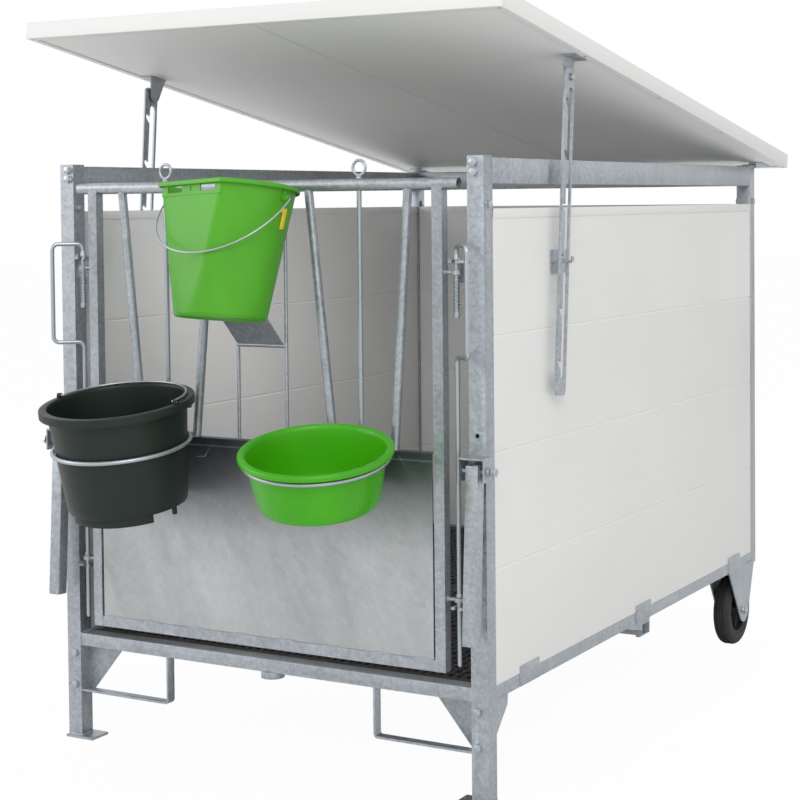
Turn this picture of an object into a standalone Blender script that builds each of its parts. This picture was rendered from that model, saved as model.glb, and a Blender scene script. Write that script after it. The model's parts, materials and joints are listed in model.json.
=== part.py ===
"""Single calf box on two rear wheels, with a hinged roof, a feeding gate and its buckets.

Metres, +Z up, the gate looks towards -Y, and the origin lies on the ground under the middle.
Lengths along Y are measured from the front faces of the front posts; one empty moves all of them.
"""
import math

import bmesh
import bpy
from mathutils import Matrix, Vector

GAP = 0.0003  # between faces that touch on the real box
OVERLAP = 0.002  # how far welded pieces run into each other
CUT_PAST = 0.01  # how far a cut runs past what it cuts

# Frame of square tube
FRAME_HALF_WIDTH = 0.578
FRAME_LENGTH = 1.717
POST = 0.040
POST_WALL = 0.0025
POST_TOP = 1.394
RAIL_BOTTOM = 0.227
RAIL_HEIGHT = 0.030
RAIL_WALL = 0.002
UPPER_RAIL_BOTTOM = 1.334
UPPER_RAIL_HEIGHT = 0.056
FOOT_WIDTH = 0.080
FOOT_PROUD = 0.0005  # beyond the post's outer face
FOOT_FRONT = 0.010
FOOT_DEPTH = 0.060
FOOT_THICKNESS = 0.006
DRAIN_RADIUS = 0.008
BOLT_RADIUS = 0.0075
BOLT_HEIGHT = 0.004
TOP_BOLTS = (0.030, 0.014, 0.0355)  # inset from the outer face, then drops from the post's top
LOW_BOLTS = (0.024, 0.020, 0.097)  # inset from the outer face, then drops from the rail's bottom
POST_HOLE_Z = 0.799
POST_HOLE_RADIUS = 0.005
SIDE_BOLT_Z = 1.290
SIDE_GUSSET = (0.054, 0.077)  # length along the rail, height
BEAM_GUSSET = (0.108, 0.112)  # length along the beam, height
GUSSET_THICKNESS = 0.004
LEDGE_REACH = 0.030
LEDGE_THICKNESS = 0.0035
SPIGOT_X = 0.0125
SPIGOT_RADIUS = 0.027
SPIGOT_DROP = 0.015
CLIP_FROM_ENDS = (0.200, 0.187)  # front and rear clip; the third sits over the cross member
CLIP_LENGTH = 0.096
CLIP_RISE = 0.016
CLIP_THICKNESS = 0.002
CROSS_MEMBER_AHEAD = 0.0035  # front face, ahead of the frame's middle
CROSS_MEMBER_WIDTH = 0.050
CROSS_MEMBER_DROP = 0.040
CROSS_MEMBER_BRACE = 0.088

# Bars between post and beam, to lift the box by
LOOP_REACH = {"left": 0.2645, "right": 0.246}  # inwards from the post
LOOP_BOTTOM = 0.1145
LOOP_THICKNESS = 0.005
LOOP_WIDTH = 0.025
LOOP_BEND = 0.010

# Plastic planks
WALL_THICKNESS = 0.035
WALL_SKIN = 0.005
PLANK_HEIGHT = 0.2505
PLANK_COUNT = 4
GROOVE_DEPTH = 0.002
GROOVE_HALF = 0.003
WALL_TONGUE = 0.0195
CAP_HEIGHT = 0.021
CAP_SHEET = 0.0012
CAP_TOP_SHEET = 0.002

# Floor
FLOOR_TOP = 0.252
FLOOR_THICKNESS = 0.022
FLOOR_CLEARANCE = 0.0005  # beside the frame, more than the gap

# Wheels
WHEEL_RADIUS = 0.100
TYRE_WIDTH = 0.047
TYRE_INSIDE_FRAME = 0.011
RIM_RADIUS = 0.068
HUB_RADIUS = 0.018
AXLE_FROM_REAR = 0.111
AXLE_RADIUS = 0.006
AXLE_CLEARANCE = 0.0004
FORK_FRONT_FROM_REAR = 0.223
FORK_REAR_FROM_REAR = 0.013
FORK_TIP_BEHIND_AXLE = 0.012
FORK_TIP_RADIUS = 0.036
FORK_PLATE = 0.004
FORK_SPAN = 0.070
WHEEL_SEGMENTS = 24

# Roof, in its own closed frame: lengths from the hinge line
ROOF_TILT = math.radians(9.5)
HINGE_BEHIND_POST = 0.013
HINGE_BELOW_TOP = 0.002
HINGE_RADIUS = 0.006
HINGE_PIN_RADIUS = 0.003
HINGE_CLEARANCE = 0.0003
HINGE_LEAF = 0.003
HINGE_LEAF_DROP = 0.060
ROOF_SIDE_OVERHANG = 0.0665  # beyond the frame
ROOF_FRONT_OVERHANG = 0.080  # front reach from the hinge, beyond the frame's length
ROOF_REAR_REACH = 0.091
ROOF_ABOVE_HINGE = 0.0101
ROOF_THICKNESS = 0.040
ROOF_SKIN = 0.002
TRIM_SHEET = 0.0015
TRIM_LEG = 0.022

# Roof struts
STRUT_OUTSIDE_FRAME = 0.0195
STRUT_THICKNESS = 0.005
STRUT_PIVOT_BEHIND_FRONT = 0.3646
STRUT_PIVOT_DROP = 0.0473
STRUT_LEAN = math.radians(4.94)
STRUT_LENGTH = 0.727
STRUT_TOP = 0.020
STRUT_FRONT_STRIP = 0.0205
STRUT_REAR_STRIP = 0.0075
SLOT_WIDTH = 0.022
SLOT_START = 0.025
SLOT_END = 0.690
NOTCH_WIDTH = 0.014
NOTCH_REACH = 0.026
NOTCH_FIRST = 0.075
NOTCH_PITCH = 0.119
NOTCH_COUNT = 6
STRUT_BOLT_RADIUS = 0.004
STRUT_BOLT_CLEARANCE = 0.0005
STRUT_BOLT_HEAD = 0.008
STRUT_BRACKET_AHEAD = 0.026
STRUT_BRACKET_BEHIND = 0.034
STRUT_BRACKET_SHEET = 0.004
BRACKET_FROM_TRIM = 0.002
PIN_ALONG_STRUT = 0.4215
PIN_BEHIND_SLOT = 0.0063
PIN_RADIUS = 0.004
PIN_REACH = 0.038
PIN_TURN = 0.012
PIN_PLATE_HEIGHT = 0.053
PIN_PLATE_LENGTH = 0.082
PIN_PLATE_THICKNESS = 0.004

# Gate
GATE_CLEARANCE = 0.055  # to the post, on each side
GATE_TUBE = 0.025
GATE_WALL = 0.002
GATE_BOTTOM = 0.285
TOP_TUBE_RADIUS = 0.01345
TOP_TUBE_WALL = 0.0023
TOP_TUBE_PAST_GATE = 0.036
TOP_TUBE_Z = 1.335
SHEET_TOP = 0.757
SHEET_THICKNESS = 0.002
SHEET_SLIT = 0.005
SHEET_FRONT = 0.0105
BAR_RADIUS = 0.010
# Each bar's X at the top tube and at the sheet, as shares of the gate's half width
BAR_SHARES = ((-0.8054, -0.6936), (-0.2567, -0.3706), (0.2836, 0.4099), (0.8157, 0.7350))
HOLDER_RODS = (-0.058, 0.074)
HOLDER_ROD_RADIUS = 0.004
HOLDER_Z = 0.975
HOLDER_RISE = 0.0935
HOLDER_REACH = 0.0915
HOLDER_PLATE = 0.003
LIP_ROD_THINNER = 0.0007
LIP_ROD_Y = -0.0155
LIP_ROD_Z = 1.3012
RING_ROD_SHARES = {"left": -0.5383, "right": 0.5590}  # of the gate's half width
RING_ROD_RADIUS = 0.0055
RING_ROD_CLEARANCE = 0.0007
RING_ROD_BOTTOM = 0.745
RING_RADIUS = 0.0165
RING_WIRE = 0.0035

# Latch rods
ROD_OUTSIDE_GATE = 0.028
ROD_RADIUS = 0.005
ROD_CLEARANCE = 0.0008
ROD_TOP = 1.203
ROD_BOTTOM = 0.303
ROD_STUB = 1.050
HANDLE_LOW = 0.967
HANDLE_OUT = 0.052
HANDLE_FORWARD = 0.051
ROD_BEND = 0.014
UPPER_EYE_Z = 1.146
LOWER_EYE_Z = 0.444
EYE_RADIUS = 0.0105
EYE_HEIGHT = 0.009
COLLAR_RADIUS = 0.008
UPPER_FORK_Z = 1.169
LOWER_FORK_Z = 0.427
FORK_SHEET = 0.006
FORK_SLOT_RADIUS = 0.006
FORK_FINGER = 0.008
FORK_AHEAD = 0.012
FORK_BEHIND = 0.0125
FORK_STUD = 0.0025
FORK_WEB = 0.048
SPRING_SEAT = 1.0600
SPRING_WIRE = 0.0012
SPRING_RADIUS = 0.0073
SPRING_TURNS = 11
SPRING_POINTS = 8

# Fold-out handles to wheel the box by
HANDLE_INSIDE_FRAME = 0.013
HANDLE_TUBE = 0.030
HANDLE_WALL = 0.002
HANDLE_PIVOT_Y = -0.026
HANDLE_PIVOT_Z = 0.728
HANDLE_ABOVE_PIVOT = 0.012
HANDLE_LENGTH = 0.380
HANDLE_LEAN = math.radians(3.5)
HANDLE_BOLT = 0.005
CHANNEL_HALF = 0.032
CHANNEL_TOP = 0.757
CHANNEL_BOTTOM = 0.706
CHANNEL_DEPTH = 0.045
CHANNEL_SHEET = 0.004

# Green drinking bucket, in its own frame: base at 0
GREEN_RIM = (0.040, -0.165, 1.335)
GREEN_LEAN = math.radians(7.5)
GREEN_HEIGHT = 0.290
GREEN_BASE_RADIUS = 0.100
GREEN_TOP_RADIUS = 0.1475
GREEN_WALL = 0.0025
GREEN_LIP = 0.0075
GREEN_SKIRT = 0.0095
GREEN_FLAT = 0.100
GREEN_FLAT_TURN = math.radians(-17)
GREEN_SLOT = (0.052, 0.0135)
GREEN_SLOT_AT = 0.058
GREEN_SLOT_DROP = 0.018
GREEN_MIDDLE_SLOT = (0.004, 0.010)
GREEN_EAR_DROP = 0.028
GREEN_BAIL_HALF = 0.163
GREEN_BAIL_REACH = 0.179
GREEN_BAIL_DROP = math.radians(46.5)
GREEN_BAIL_WIRE = 0.002
EAR_RADIUS = 0.007
EAR_REACH = 0.0145
EAR_CLEARANCE = 0.0006
BAIL_TAIL = 0.012
CLIP_TURN = math.radians(6)
CLIP_DROP = 0.048
CLIP_SIZE = (0.004, 0.015, 0.046)

# Dark feed bucket, in its own frame: rim at 0
DARK_RIM = (-0.2472, -0.2047, 0.8582)
DARK_TILT = math.radians(8.67)
DARK_RIM_RADIUS = 0.1742
DARK_TOP_RADIUS = 0.156
DARK_BASE_RADIUS = 0.1345
DARK_HEIGHT = 0.239
DARK_WALL = 0.003
DARK_LIP = 0.018
DARK_LIP_SHEET = 0.0035
DARK_RIM_SHEET = 0.005
DARK_LIP_ROUND = 0.004
DARK_FOOT = 0.019
DARK_FOOT_INSET = 0.0075
DARK_FOOT_THICKNESS = 0.009
DARK_FOOT_GAPS = (-17.7, 102.3, 222.3)  # degrees from +X
DARK_FOOT_GAP_HALF = math.radians(15)
DARK_RING_DEPTH = 0.102
DARK_RING_WIRE = 0.005
DARK_EYE = (0.1605, 0.1695)  # inner and outer face of the eyes on the rim
DARK_EYE_WIDTH = 0.012
DARK_EYE_HEIGHT = 0.009
DARK_BAIL_HALF = 0.1545
DARK_BAIL_WIRE = 0.0025

# Green feed bowl, in its own frame: rim at 0
BOWL_RIM = (0.2764, -0.1953, 0.7786)
BOWL_TILT = math.radians(11.7)
BOWL_ROLL = math.radians(4)
BOWL_RIM_RADIUS = 0.1663
BOWL_TOP_RADIUS = 0.152
BOWL_BASE_RADIUS = 0.130
BOWL_HEIGHT = 0.124
BOWL_WALL = 0.003
BOWL_SKIRT = 0.0115
BOWL_RING_DEPTH = 0.016
BOWL_RING_WIRE = 0.0045
HOOK_SPREAD = 0.045
HOOK_WIRE = 0.004
HOOK_DROP = 0.022
BUCKET_SEGMENTS = 32

POST_IN = FRAME_HALF_WIDTH - POST
REAR = FRAME_LENGTH - POST
CROSS_MEMBER_Y = FRAME_LENGTH / 2 - CROSS_MEMBER_AHEAD
CLIP_CENTRES = (CLIP_FROM_ENDS[0], CROSS_MEMBER_Y, FRAME_LENGTH - CLIP_FROM_ENDS[1])
TYRE_OUTER_X = FRAME_HALF_WIDTH - TYRE_INSIDE_FRAME
AXLE_Y = FRAME_LENGTH - AXLE_FROM_REAR
FORK_FRONT = FRAME_LENGTH - FORK_FRONT_FROM_REAR
FORK_REAR = FRAME_LENGTH - FORK_REAR_FROM_REAR
FORK_TIP_Y = AXLE_Y + FORK_TIP_BEHIND_AXLE
ROOF_HALF_WIDTH = FRAME_HALF_WIDTH + ROOF_SIDE_OVERHANG
ROOF_FRONT_REACH = FRAME_LENGTH + ROOF_FRONT_OVERHANG
STRUT_X = FRAME_HALF_WIDTH + STRUT_OUTSIDE_FRAME
STRUT_PIVOT_REACH = FRAME_LENGTH - STRUT_PIVOT_BEHIND_FRONT
GATE_HALF_WIDTH = POST_IN - GATE_CLEARANCE
TOP_TUBE_HALF = GATE_HALF_WIDTH + TOP_TUBE_PAST_GATE
RING_ROD_X = {side: share * GATE_HALF_WIDTH for side, share in RING_ROD_SHARES.items()}
HANDLE_X = FRAME_HALF_WIDTH - HANDLE_INSIDE_FRAME
RAIL_TOP = RAIL_BOTTOM + RAIL_HEIGHT
WALL_BOTTOM = RAIL_TOP + GAP
WALL_TOP = WALL_BOTTOM + PLANK_COUNT * PLANK_HEIGHT + WALL_TONGUE
FLOOR_BOTTOM = FLOOR_TOP - FLOOR_THICKNESS
ROD_X = GATE_HALF_WIDTH + ROD_OUTSIDE_GATE
HINGE_Y = FRAME_LENGTH + HINGE_BEHIND_POST
HINGE_Z = POST_TOP - HINGE_BELOW_TOP
DARK_EYE_RISE = DARK_EYE_HEIGHT / 2
DARK_FRONT = DARK_RIM[1] - DARK_RIM_RADIUS * math.cos(DARK_TILT) + DARK_LIP_ROUND * math.sin(DARK_TILT)
ROOF_REAR_EDGE = (HINGE_Y + ROOF_REAR_REACH * math.cos(ROOF_TILT)
                  + (ROOF_ABOVE_HINGE + ROOF_THICKNESS) * math.sin(ROOF_TILT))
ORIGIN_Y = (DARK_FRONT + ROOF_REAR_EDGE) / 2

# Finishes: colour, roughness, metallic
GALVANISED = ((0.37, 0.40, 0.43), 0.45, 0.85)
GALVANISED_SHEET = ((0.50, 0.52, 0.53), 0.40, 0.85)
WHITE_PLANK = ((0.68, 0.69, 0.66), 0.45, 0.0)
ROOF_WHITE = ((0.74, 0.75, 0.74), 0.25, 0.0)
GREEN_PLASTIC = ((0.13, 0.46, 0.05), 0.35, 0.0)
BOWL_PLASTIC = ((0.06, 0.40, 0.01), 0.30, 0.0)
DARK_PLASTIC = ((0.03, 0.045, 0.045), 0.45, 0.0)
YELLOW_PLASTIC = ((0.80, 0.58, 0.02), 0.40, 0.0)
FLOOR_PLASTIC = ((0.04, 0.035, 0.04), 0.60, 0.0)
TYRE_RUBBER = ((0.015, 0.014, 0.018), 0.80, 0.0)
RIM_GREY = ((0.35, 0.36, 0.38), 0.50, 0.3)


def remove_everything():
    for thing in list(bpy.data.objects):
        bpy.data.objects.remove(thing)


def mesh_of(shape):
    """Turn a bmesh into a mesh whose faces point out."""
    bmesh.ops.recalc_face_normals(shape, faces=shape.faces)
    mesh = bpy.data.meshes.new("shape")
    shape.to_mesh(mesh)
    shape.free()
    return mesh


def box(low, high):
    shape = bmesh.new()
    low, high = Vector(low), Vector(high)
    size = Matrix.Diagonal((high - low).to_4d())
    bmesh.ops.create_cube(shape, size=1, matrix=Matrix.Translation((low + high) / 2) @ size)
    return mesh_of(shape)


def cylinder(start, end, radius, end_radius=None, sides=16):
    shape = bmesh.new()
    start, end = Vector(start), Vector(end)
    turn = (end - start).to_track_quat("Z", "Y").to_matrix().to_4x4()
    turn = turn @ Matrix.Rotation(math.pi / sides, 4, "Z")
    bmesh.ops.create_cone(shape, cap_ends=True, segments=sides, radius1=radius,
                          radius2=radius if end_radius is None else end_radius,
                          depth=(end - start).length,
                          matrix=Matrix.Translation((start + end) / 2) @ turn)
    return mesh_of(shape)


def prism(outline, axis, low, high):
    """Extrude an outline along an axis: its points are (Y, Z), (X, Z) or (X, Y)."""
    shape = bmesh.new()
    corners = []
    for first, second in outline:
        point = [first, second]
        point.insert("XYZ".index(axis), low)
        corners.append(shape.verts.new(point))
    face = shape.faces.new(corners)
    grown = bmesh.ops.extrude_face_region(shape, geom=[face])
    move = [0, 0, 0]
    move["XYZ".index(axis)] = high - low
    raised = [item for item in grown["geom"] if isinstance(item, bmesh.types.BMVert)]
    bmesh.ops.translate(shape, vec=move, verts=raised)
    return mesh_of(shape)


def turned(profile, sides=BUCKET_SEGMENTS, closed=False):
    """Spin a profile of (radius, height) about Z; an open one starts and ends on the axis."""
    shape = bmesh.new()
    points = [shape.verts.new((radius, 0, height)) for radius, height in profile]
    pairs = list(zip(points, points[1:]))
    if closed:
        pairs.append((points[-1], points[0]))
    edges = [shape.edges.new(pair) for pair in pairs]
    bmesh.ops.spin(shape, geom=points + edges, cent=(0, 0, 0), axis=(0, 0, 1),
                   angle=math.tau, steps=sides, use_merge=True)
    bmesh.ops.remove_doubles(shape, verts=shape.verts, dist=0.00001)
    return mesh_of(shape)


def evaluated(body):
    """Return the mesh of an object with its modifiers or bevel applied, and remove the object."""
    scene = bpy.context.evaluated_depsgraph_get()
    mesh = bpy.data.meshes.new_from_object(body.evaluated_get(scene))
    bpy.data.objects.remove(body)
    return mesh


def wire(points, radius, cyclic=False, resolution=1):
    """A round bar along a line of points, with closed ends."""
    curve = bpy.data.curves.new("wire", "CURVE")
    curve.dimensions = "3D"
    curve.bevel_depth = radius
    curve.bevel_resolution = resolution
    curve.use_fill_caps = True
    spline = curve.splines.new("POLY")
    spline.points.add(len(points) - 1)
    for place, point in zip(spline.points, points):
        place.co = (*point, 1)
    spline.use_cyclic_u = cyclic
    body = bpy.data.objects.new("wire", curve)
    bpy.context.scene.collection.objects.link(body)
    mesh = evaluated(body)
    shape = bmesh.new()
    shape.from_mesh(mesh)
    bmesh.ops.remove_doubles(shape, verts=shape.verts, dist=0.000001)
    return mesh_of(shape)


def rounded(points, radius, step=math.radians(22)):
    """Replace each inner corner of a line by an arc."""
    points = [Vector(point) for point in points]
    line = [points[0]]
    for before, corner, after in zip(points, points[1:], points[2:]):
        arrive = (before - corner).normalized()
        leave = (after - corner).normalized()
        turn = math.pi - arrive.angle(leave)
        back = radius * math.tan(turn / 2)
        centre = corner + (arrive + leave).normalized() * radius / math.cos(turn / 2)
        start = corner + arrive * back - centre
        axis = start.cross(corner + leave * back - centre).normalized()
        pieces = max(2, math.ceil(turn / step))
        for count in range(pieces + 1):
            line.append(centre + Matrix.Rotation(turn * count / pieces, 3, axis) @ start)
    line.append(points[-1])
    return line


def combined(pieces, cuts=()):
    """Join overlapping meshes into one closed solid, then take the cuts out of it."""
    scene = bpy.context.scene.collection
    body = bpy.data.objects.new("body", pieces[0])
    scene.objects.link(body)
    groups = []
    for operation, meshes in (("UNION", pieces[1:]), ("DIFFERENCE", cuts)):
        if not meshes:
            continue
        group = bpy.data.collections.new(operation)
        scene.children.link(group)
        for mesh in meshes:
            group.objects.link(bpy.data.objects.new("tool", mesh))
        groups.append(group)
        modifier = body.modifiers.new(operation, "BOOLEAN")
        modifier.operation = operation
        modifier.operand_type = "COLLECTION"
        modifier.collection = group
    mesh = evaluated(body)
    for group in groups:
        for tool in list(group.objects):
            bpy.data.objects.remove(tool)
        bpy.data.collections.remove(group)
    return mesh


def moved(mesh, matrix):
    mesh.transform(matrix)
    if matrix.is_negative:
        mesh.flip_normals()
    return mesh


def on_side(mesh, side):
    """Pieces are drawn for the right side; the left one is its mirror image."""
    return moved(mesh, Matrix.Scale(-1, 4, (1, 0, 0))) if side == "left" else mesh


def arc(centre, radius, start, end, steps):
    points = []
    for count in range(steps + 1):
        angle = start + (end - start) * count / steps
        points.append((centre[0] + radius * math.cos(angle), centre[1] + radius * math.sin(angle)))
    return points


def empty(name, location, rotation=(0, 0, 0), parent=None):
    frame = bpy.data.objects.new(name, None)
    frame.location = location
    frame.rotation_euler = rotation
    frame.parent = parent
    frame.empty_display_size = 0.1
    bpy.context.scene.collection.objects.link(frame)
    return frame


def add_part(name, mesh, finish, parent, pivot=(0, 0, 0)):
    """Make a named sub-part whose origin is the pivot, with a material of its own."""
    mesh.transform(Matrix.Translation(-Vector(pivot)))
    mesh.name = name
    colour, roughness, metallic = finish
    material = bpy.data.materials.new(name)
    material.use_nodes = True
    surface = material.node_tree.nodes["Principled BSDF"]
    surface.inputs["Base Color"].default_value = (*colour, 1)
    surface.inputs["Roughness"].default_value = roughness
    surface.inputs["Metallic"].default_value = metallic
    mesh.materials.clear()
    mesh.materials.append(material)
    mesh.shade_smooth()
    mesh.set_sharp_from_angle(angle=math.radians(30))
    body = bpy.data.objects.new(name, mesh)
    body.location = pivot
    body.parent = parent
    bpy.context.scene.collection.objects.link(body)
    return body


# Frame


def bolt_head(point, direction, radius=BOLT_RADIUS, height=BOLT_HEIGHT):
    point, direction = Vector(point), Vector(direction)
    return cylinder(point - direction * OVERLAP, point + direction * height, radius, sides=8)


def latch_fork(middle):
    """Forked plate, open to the front, that a latch rod drops into."""
    inner = ROD_X - FORK_SLOT_RADIUS
    outer = ROD_X + FORK_SLOT_RADIUS
    slot = arc((ROD_X, 0), FORK_SLOT_RADIUS, math.pi, 0, 6)
    outline = [(POST_IN + OVERLAP, FORK_BEHIND + OVERLAP), (inner - FORK_FINGER, FORK_BEHIND + OVERLAP),
               (inner - FORK_FINGER, -FORK_AHEAD), (inner, -FORK_AHEAD), *slot,
               (outer, -FORK_AHEAD), (POST_IN + OVERLAP, -FORK_AHEAD)]
    return prism(outline, "Z", middle - FORK_SHEET / 2, middle + FORK_SHEET / 2)


def fork_studs():
    """Studs on the fork's fingers that keep the collar in until the rod is lifted."""
    studs = []
    top = UPPER_FORK_Z + FORK_SHEET / 2
    away = COLLAR_RADIUS + 0.0015 + FORK_STUD
    for x in (ROD_X - away, ROD_X + away):
        y = -FORK_AHEAD + FORK_STUD + 0.001
        studs.append(cylinder((x, y, top - OVERLAP), (x, y, top + 0.006), FORK_STUD, sides=8))
    return studs


def front_post():
    inner, outer = POST_IN, FRAME_HALF_WIDTH
    middle = (inner + outer) / 2
    web_top = UPPER_FORK_Z + FORK_SHEET / 2 - 0.001
    gusset_length, gusset_height = SIDE_GUSSET
    gusset_top = RAIL_BOTTOM - GAP
    gusset = [(POST - OVERLAP, gusset_top - gusset_height),
              (POST + gusset_length - 0.002, gusset_top - 0.022),
              (POST + gusset_length, gusset_top), (POST - OVERLAP, gusset_top)]
    pieces = [
        box((inner, 0, FOOT_THICKNESS - OVERLAP), (outer, POST, POST_TOP)),
        box((outer + FOOT_PROUD - FOOT_WIDTH, -FOOT_FRONT, 0),
            (outer + FOOT_PROUD, FOOT_DEPTH - FOOT_FRONT, FOOT_THICKNESS)),
        prism(gusset, "X", outer - GUSSET_THICKNESS, outer - 0.0001),
        latch_fork(UPPER_FORK_Z),
        latch_fork(LOWER_FORK_Z),
        *fork_studs(),
        box((ROD_X - FORK_SLOT_RADIUS - FORK_FINGER + 0.001, FORK_BEHIND, web_top - FORK_WEB),
            (inner + OVERLAP, FORK_BEHIND + 0.004, web_top)),
    ]
    for inset, *drops, height in ((*TOP_BOLTS, POST_TOP), (*LOW_BOLTS, RAIL_BOTTOM)):
        for drop in drops:
            pieces.append(bolt_head((outer - inset, 0, height - drop), (0, -1, 0)))
    pieces.append(bolt_head((outer, POST / 2, SIDE_BOLT_Z), (1, 0, 0)))
    pieces.append(bolt_head((inner, POST / 2, SIDE_BOLT_Z), (-1, 0, 0)))
    cuts = [
        box((inner + POST_WALL, POST_WALL, FOOT_THICKNESS),
            (outer - POST_WALL, POST - POST_WALL, POST_TOP - 0.003)),
        cylinder((middle, POST / 2, -CUT_PAST), (middle, POST / 2, 0.02), DRAIN_RADIUS),
        cylinder((middle, -CUT_PAST, POST_HOLE_Z), (middle, POST / 2, POST_HOLE_Z), POST_HOLE_RADIUS),
    ]
    return combined(pieces, cuts)


def hinge_split():
    """X where the frame's half of a roof hinge ends and the roof's half begins."""
    return (POST_IN + FRAME_HALF_WIDTH) / 2


def rear_post():
    inner, outer = POST_IN, FRAME_HALF_WIDTH
    hinge = (HINGE_Y, HINGE_Z)
    knuckle_end = hinge_split() - GAP / 2
    pin_end = FRAME_HALF_WIDTH + 0.002
    pieces = [
        box((inner, REAR, RAIL_BOTTOM), (outer, FRAME_LENGTH, POST_TOP)),
        box((inner + 0.0010, FRAME_LENGTH - OVERLAP, HINGE_Z - HINGE_LEAF_DROP),
            (knuckle_end - 0.0005, FRAME_LENGTH + HINGE_LEAF, HINGE_Z + 0.001)),
        box((inner + 0.0015, FRAME_LENGTH - 0.001, HINGE_Z - HINGE_RADIUS + 0.0010),
            (knuckle_end - 0.0010, HINGE_Y - 0.0005, HINGE_Z + 0.0005)),
        cylinder((inner + 0.0005, *hinge), (knuckle_end, *hinge), HINGE_RADIUS),
        cylinder((knuckle_end - 0.005, *hinge), (pin_end, *hinge), HINGE_PIN_RADIUS),
        bolt_head((outer, REAR + POST / 2, SIDE_BOLT_Z), (1, 0, 0)),
        bolt_head((inner, REAR + POST / 2, SIDE_BOLT_Z), (-1, 0, 0)),
    ]
    cuts = [box((inner + POST_WALL, REAR + POST_WALL, RAIL_BOTTOM - CUT_PAST),
                (outer - POST_WALL, FRAME_LENGTH - POST_WALL, POST_TOP - 0.003))]
    return combined(pieces, cuts)


def beam(front, ledge_front):
    """Lower cross beam of square tube with the ledge that carries the floor."""
    half = POST_IN - GAP
    ledge_top = FLOOR_BOTTOM - GAP
    pieces = [
        box((-half, front, RAIL_BOTTOM), (half, front + POST, RAIL_TOP)),
        box((-half + 0.03, ledge_front, ledge_top - LEDGE_THICKNESS),
            (half - 0.03, ledge_front + LEDGE_REACH + OVERLAP, ledge_top)),
    ]
    cuts = [box((-half - CUT_PAST, front + RAIL_WALL, RAIL_BOTTOM + RAIL_WALL),
                (half + CUT_PAST, front + POST - RAIL_WALL, RAIL_TOP - RAIL_WALL))]
    return pieces, cuts


def front_beam():
    half = POST_IN - GAP
    pieces, cuts = beam(0, POST - 0.001)
    top = RAIL_BOTTOM + 0.001
    length, height = BEAM_GUSSET
    for side in (-1, 1):
        outline = [(side * half, top), (side * (half - length), top),
                   (side * (half - 0.014), RAIL_BOTTOM - height), (side * half, RAIL_BOTTOM - height)]
        pieces.append(prism(outline, "Y", POST - 0.003 - GUSSET_THICKNESS, POST - 0.003))
    spigot = (SPIGOT_X, POST / 2)
    pieces.append(cylinder((*spigot, RAIL_BOTTOM - SPIGOT_DROP), (*spigot, top), SPIGOT_RADIUS, sides=24))
    return combined(pieces, cuts)


def rear_beam():
    return combined(*beam(REAR, REAR - LEDGE_REACH - 0.001))


def lower_rail():
    """Side rail with the bent clips that hold the lowest plank."""
    inner, outer = POST_IN, FRAME_HALF_WIDTH
    pieces = [box((inner, POST + GAP, RAIL_BOTTOM), (outer, REAR - GAP, RAIL_TOP))]
    clip = [(outer - 0.0015, RAIL_BOTTOM + 0.001), (outer + GAP + CLIP_THICKNESS, RAIL_BOTTOM + 0.001),
            (outer + GAP + CLIP_THICKNESS, RAIL_TOP + CLIP_RISE), (outer + GAP, RAIL_TOP + CLIP_RISE),
            (outer + GAP, RAIL_TOP - 0.001), (outer - 0.0015, RAIL_TOP - 0.001)]
    for middle in CLIP_CENTRES:
        pieces.append(prism(clip, "Y", middle - CLIP_LENGTH / 2, middle + CLIP_LENGTH / 2))
    cuts = [box((inner + RAIL_WALL, 0, RAIL_BOTTOM + RAIL_WALL),
                (outer - RAIL_WALL, REAR + CUT_PAST, RAIL_TOP - RAIL_WALL))]
    return combined(pieces, cuts)


def tube(low, high, wall, along):
    """Rectangular tube with open ends."""
    inner_low = [value + wall for value in low]
    inner_high = [value - wall for value in high]
    inner_low["XYZ".index(along)] = low["XYZ".index(along)] - CUT_PAST
    inner_high["XYZ".index(along)] = high["XYZ".index(along)] + CUT_PAST
    return combined([box(low, high)], [box(inner_low, inner_high)])


def upper_rail():
    return tube((POST_IN, POST + GAP, UPPER_RAIL_BOTTOM),
                (FRAME_HALF_WIDTH, REAR - GAP, UPPER_RAIL_BOTTOM + UPPER_RAIL_HEIGHT), RAIL_WALL, "Y")


def rear_crossbar():
    half = POST_IN - GAP
    return tube((-half, REAR, UPPER_RAIL_BOTTOM),
                (half, FRAME_LENGTH, UPPER_RAIL_BOTTOM + UPPER_RAIL_HEIGHT), RAIL_WALL, "X")


def cross_member():
    """Tube under the middle of the floor, braced and bolted below both side rails."""
    low = CROSS_MEMBER_Y
    high = low + CROSS_MEMBER_WIDTH
    half = FRAME_HALF_WIDTH - 0.003
    seat = RAIL_BOTTOM - GAP
    bottom = seat - CROSS_MEMBER_DROP
    floor_seat = FLOOR_BOTTOM - GAP
    pieces = [
        box((-half, low, bottom), (half, high, seat)),
        box((-POST_IN + GAP, low + 0.003, seat - 0.010), (POST_IN - GAP, high - 0.003, floor_seat)),
    ]
    for side in (-1, 1):
        brace = [(low + OVERLAP, seat), (low - CROSS_MEMBER_BRACE, seat),
                 (low - CROSS_MEMBER_BRACE, seat - 0.005), (low + OVERLAP, seat - 0.026)]
        near, far = sorted((side * (half - 0.001), side * (half - 0.001 - GUSSET_THICKNESS)))
        pieces.append(prism(brace, "X", near, far))
        bolt = side * (half - 0.015)
        pieces.append(cylinder((bolt, low + 0.012, bottom - 0.006), (bolt, low + 0.012, bottom + 0.001),
                               0.007, sides=8))
    cuts = [box((-half - CUT_PAST, low + RAIL_WALL, bottom + RAIL_WALL),
                (half + CUT_PAST, high - RAIL_WALL, seat - 0.012))]
    return combined(pieces, cuts)


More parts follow.
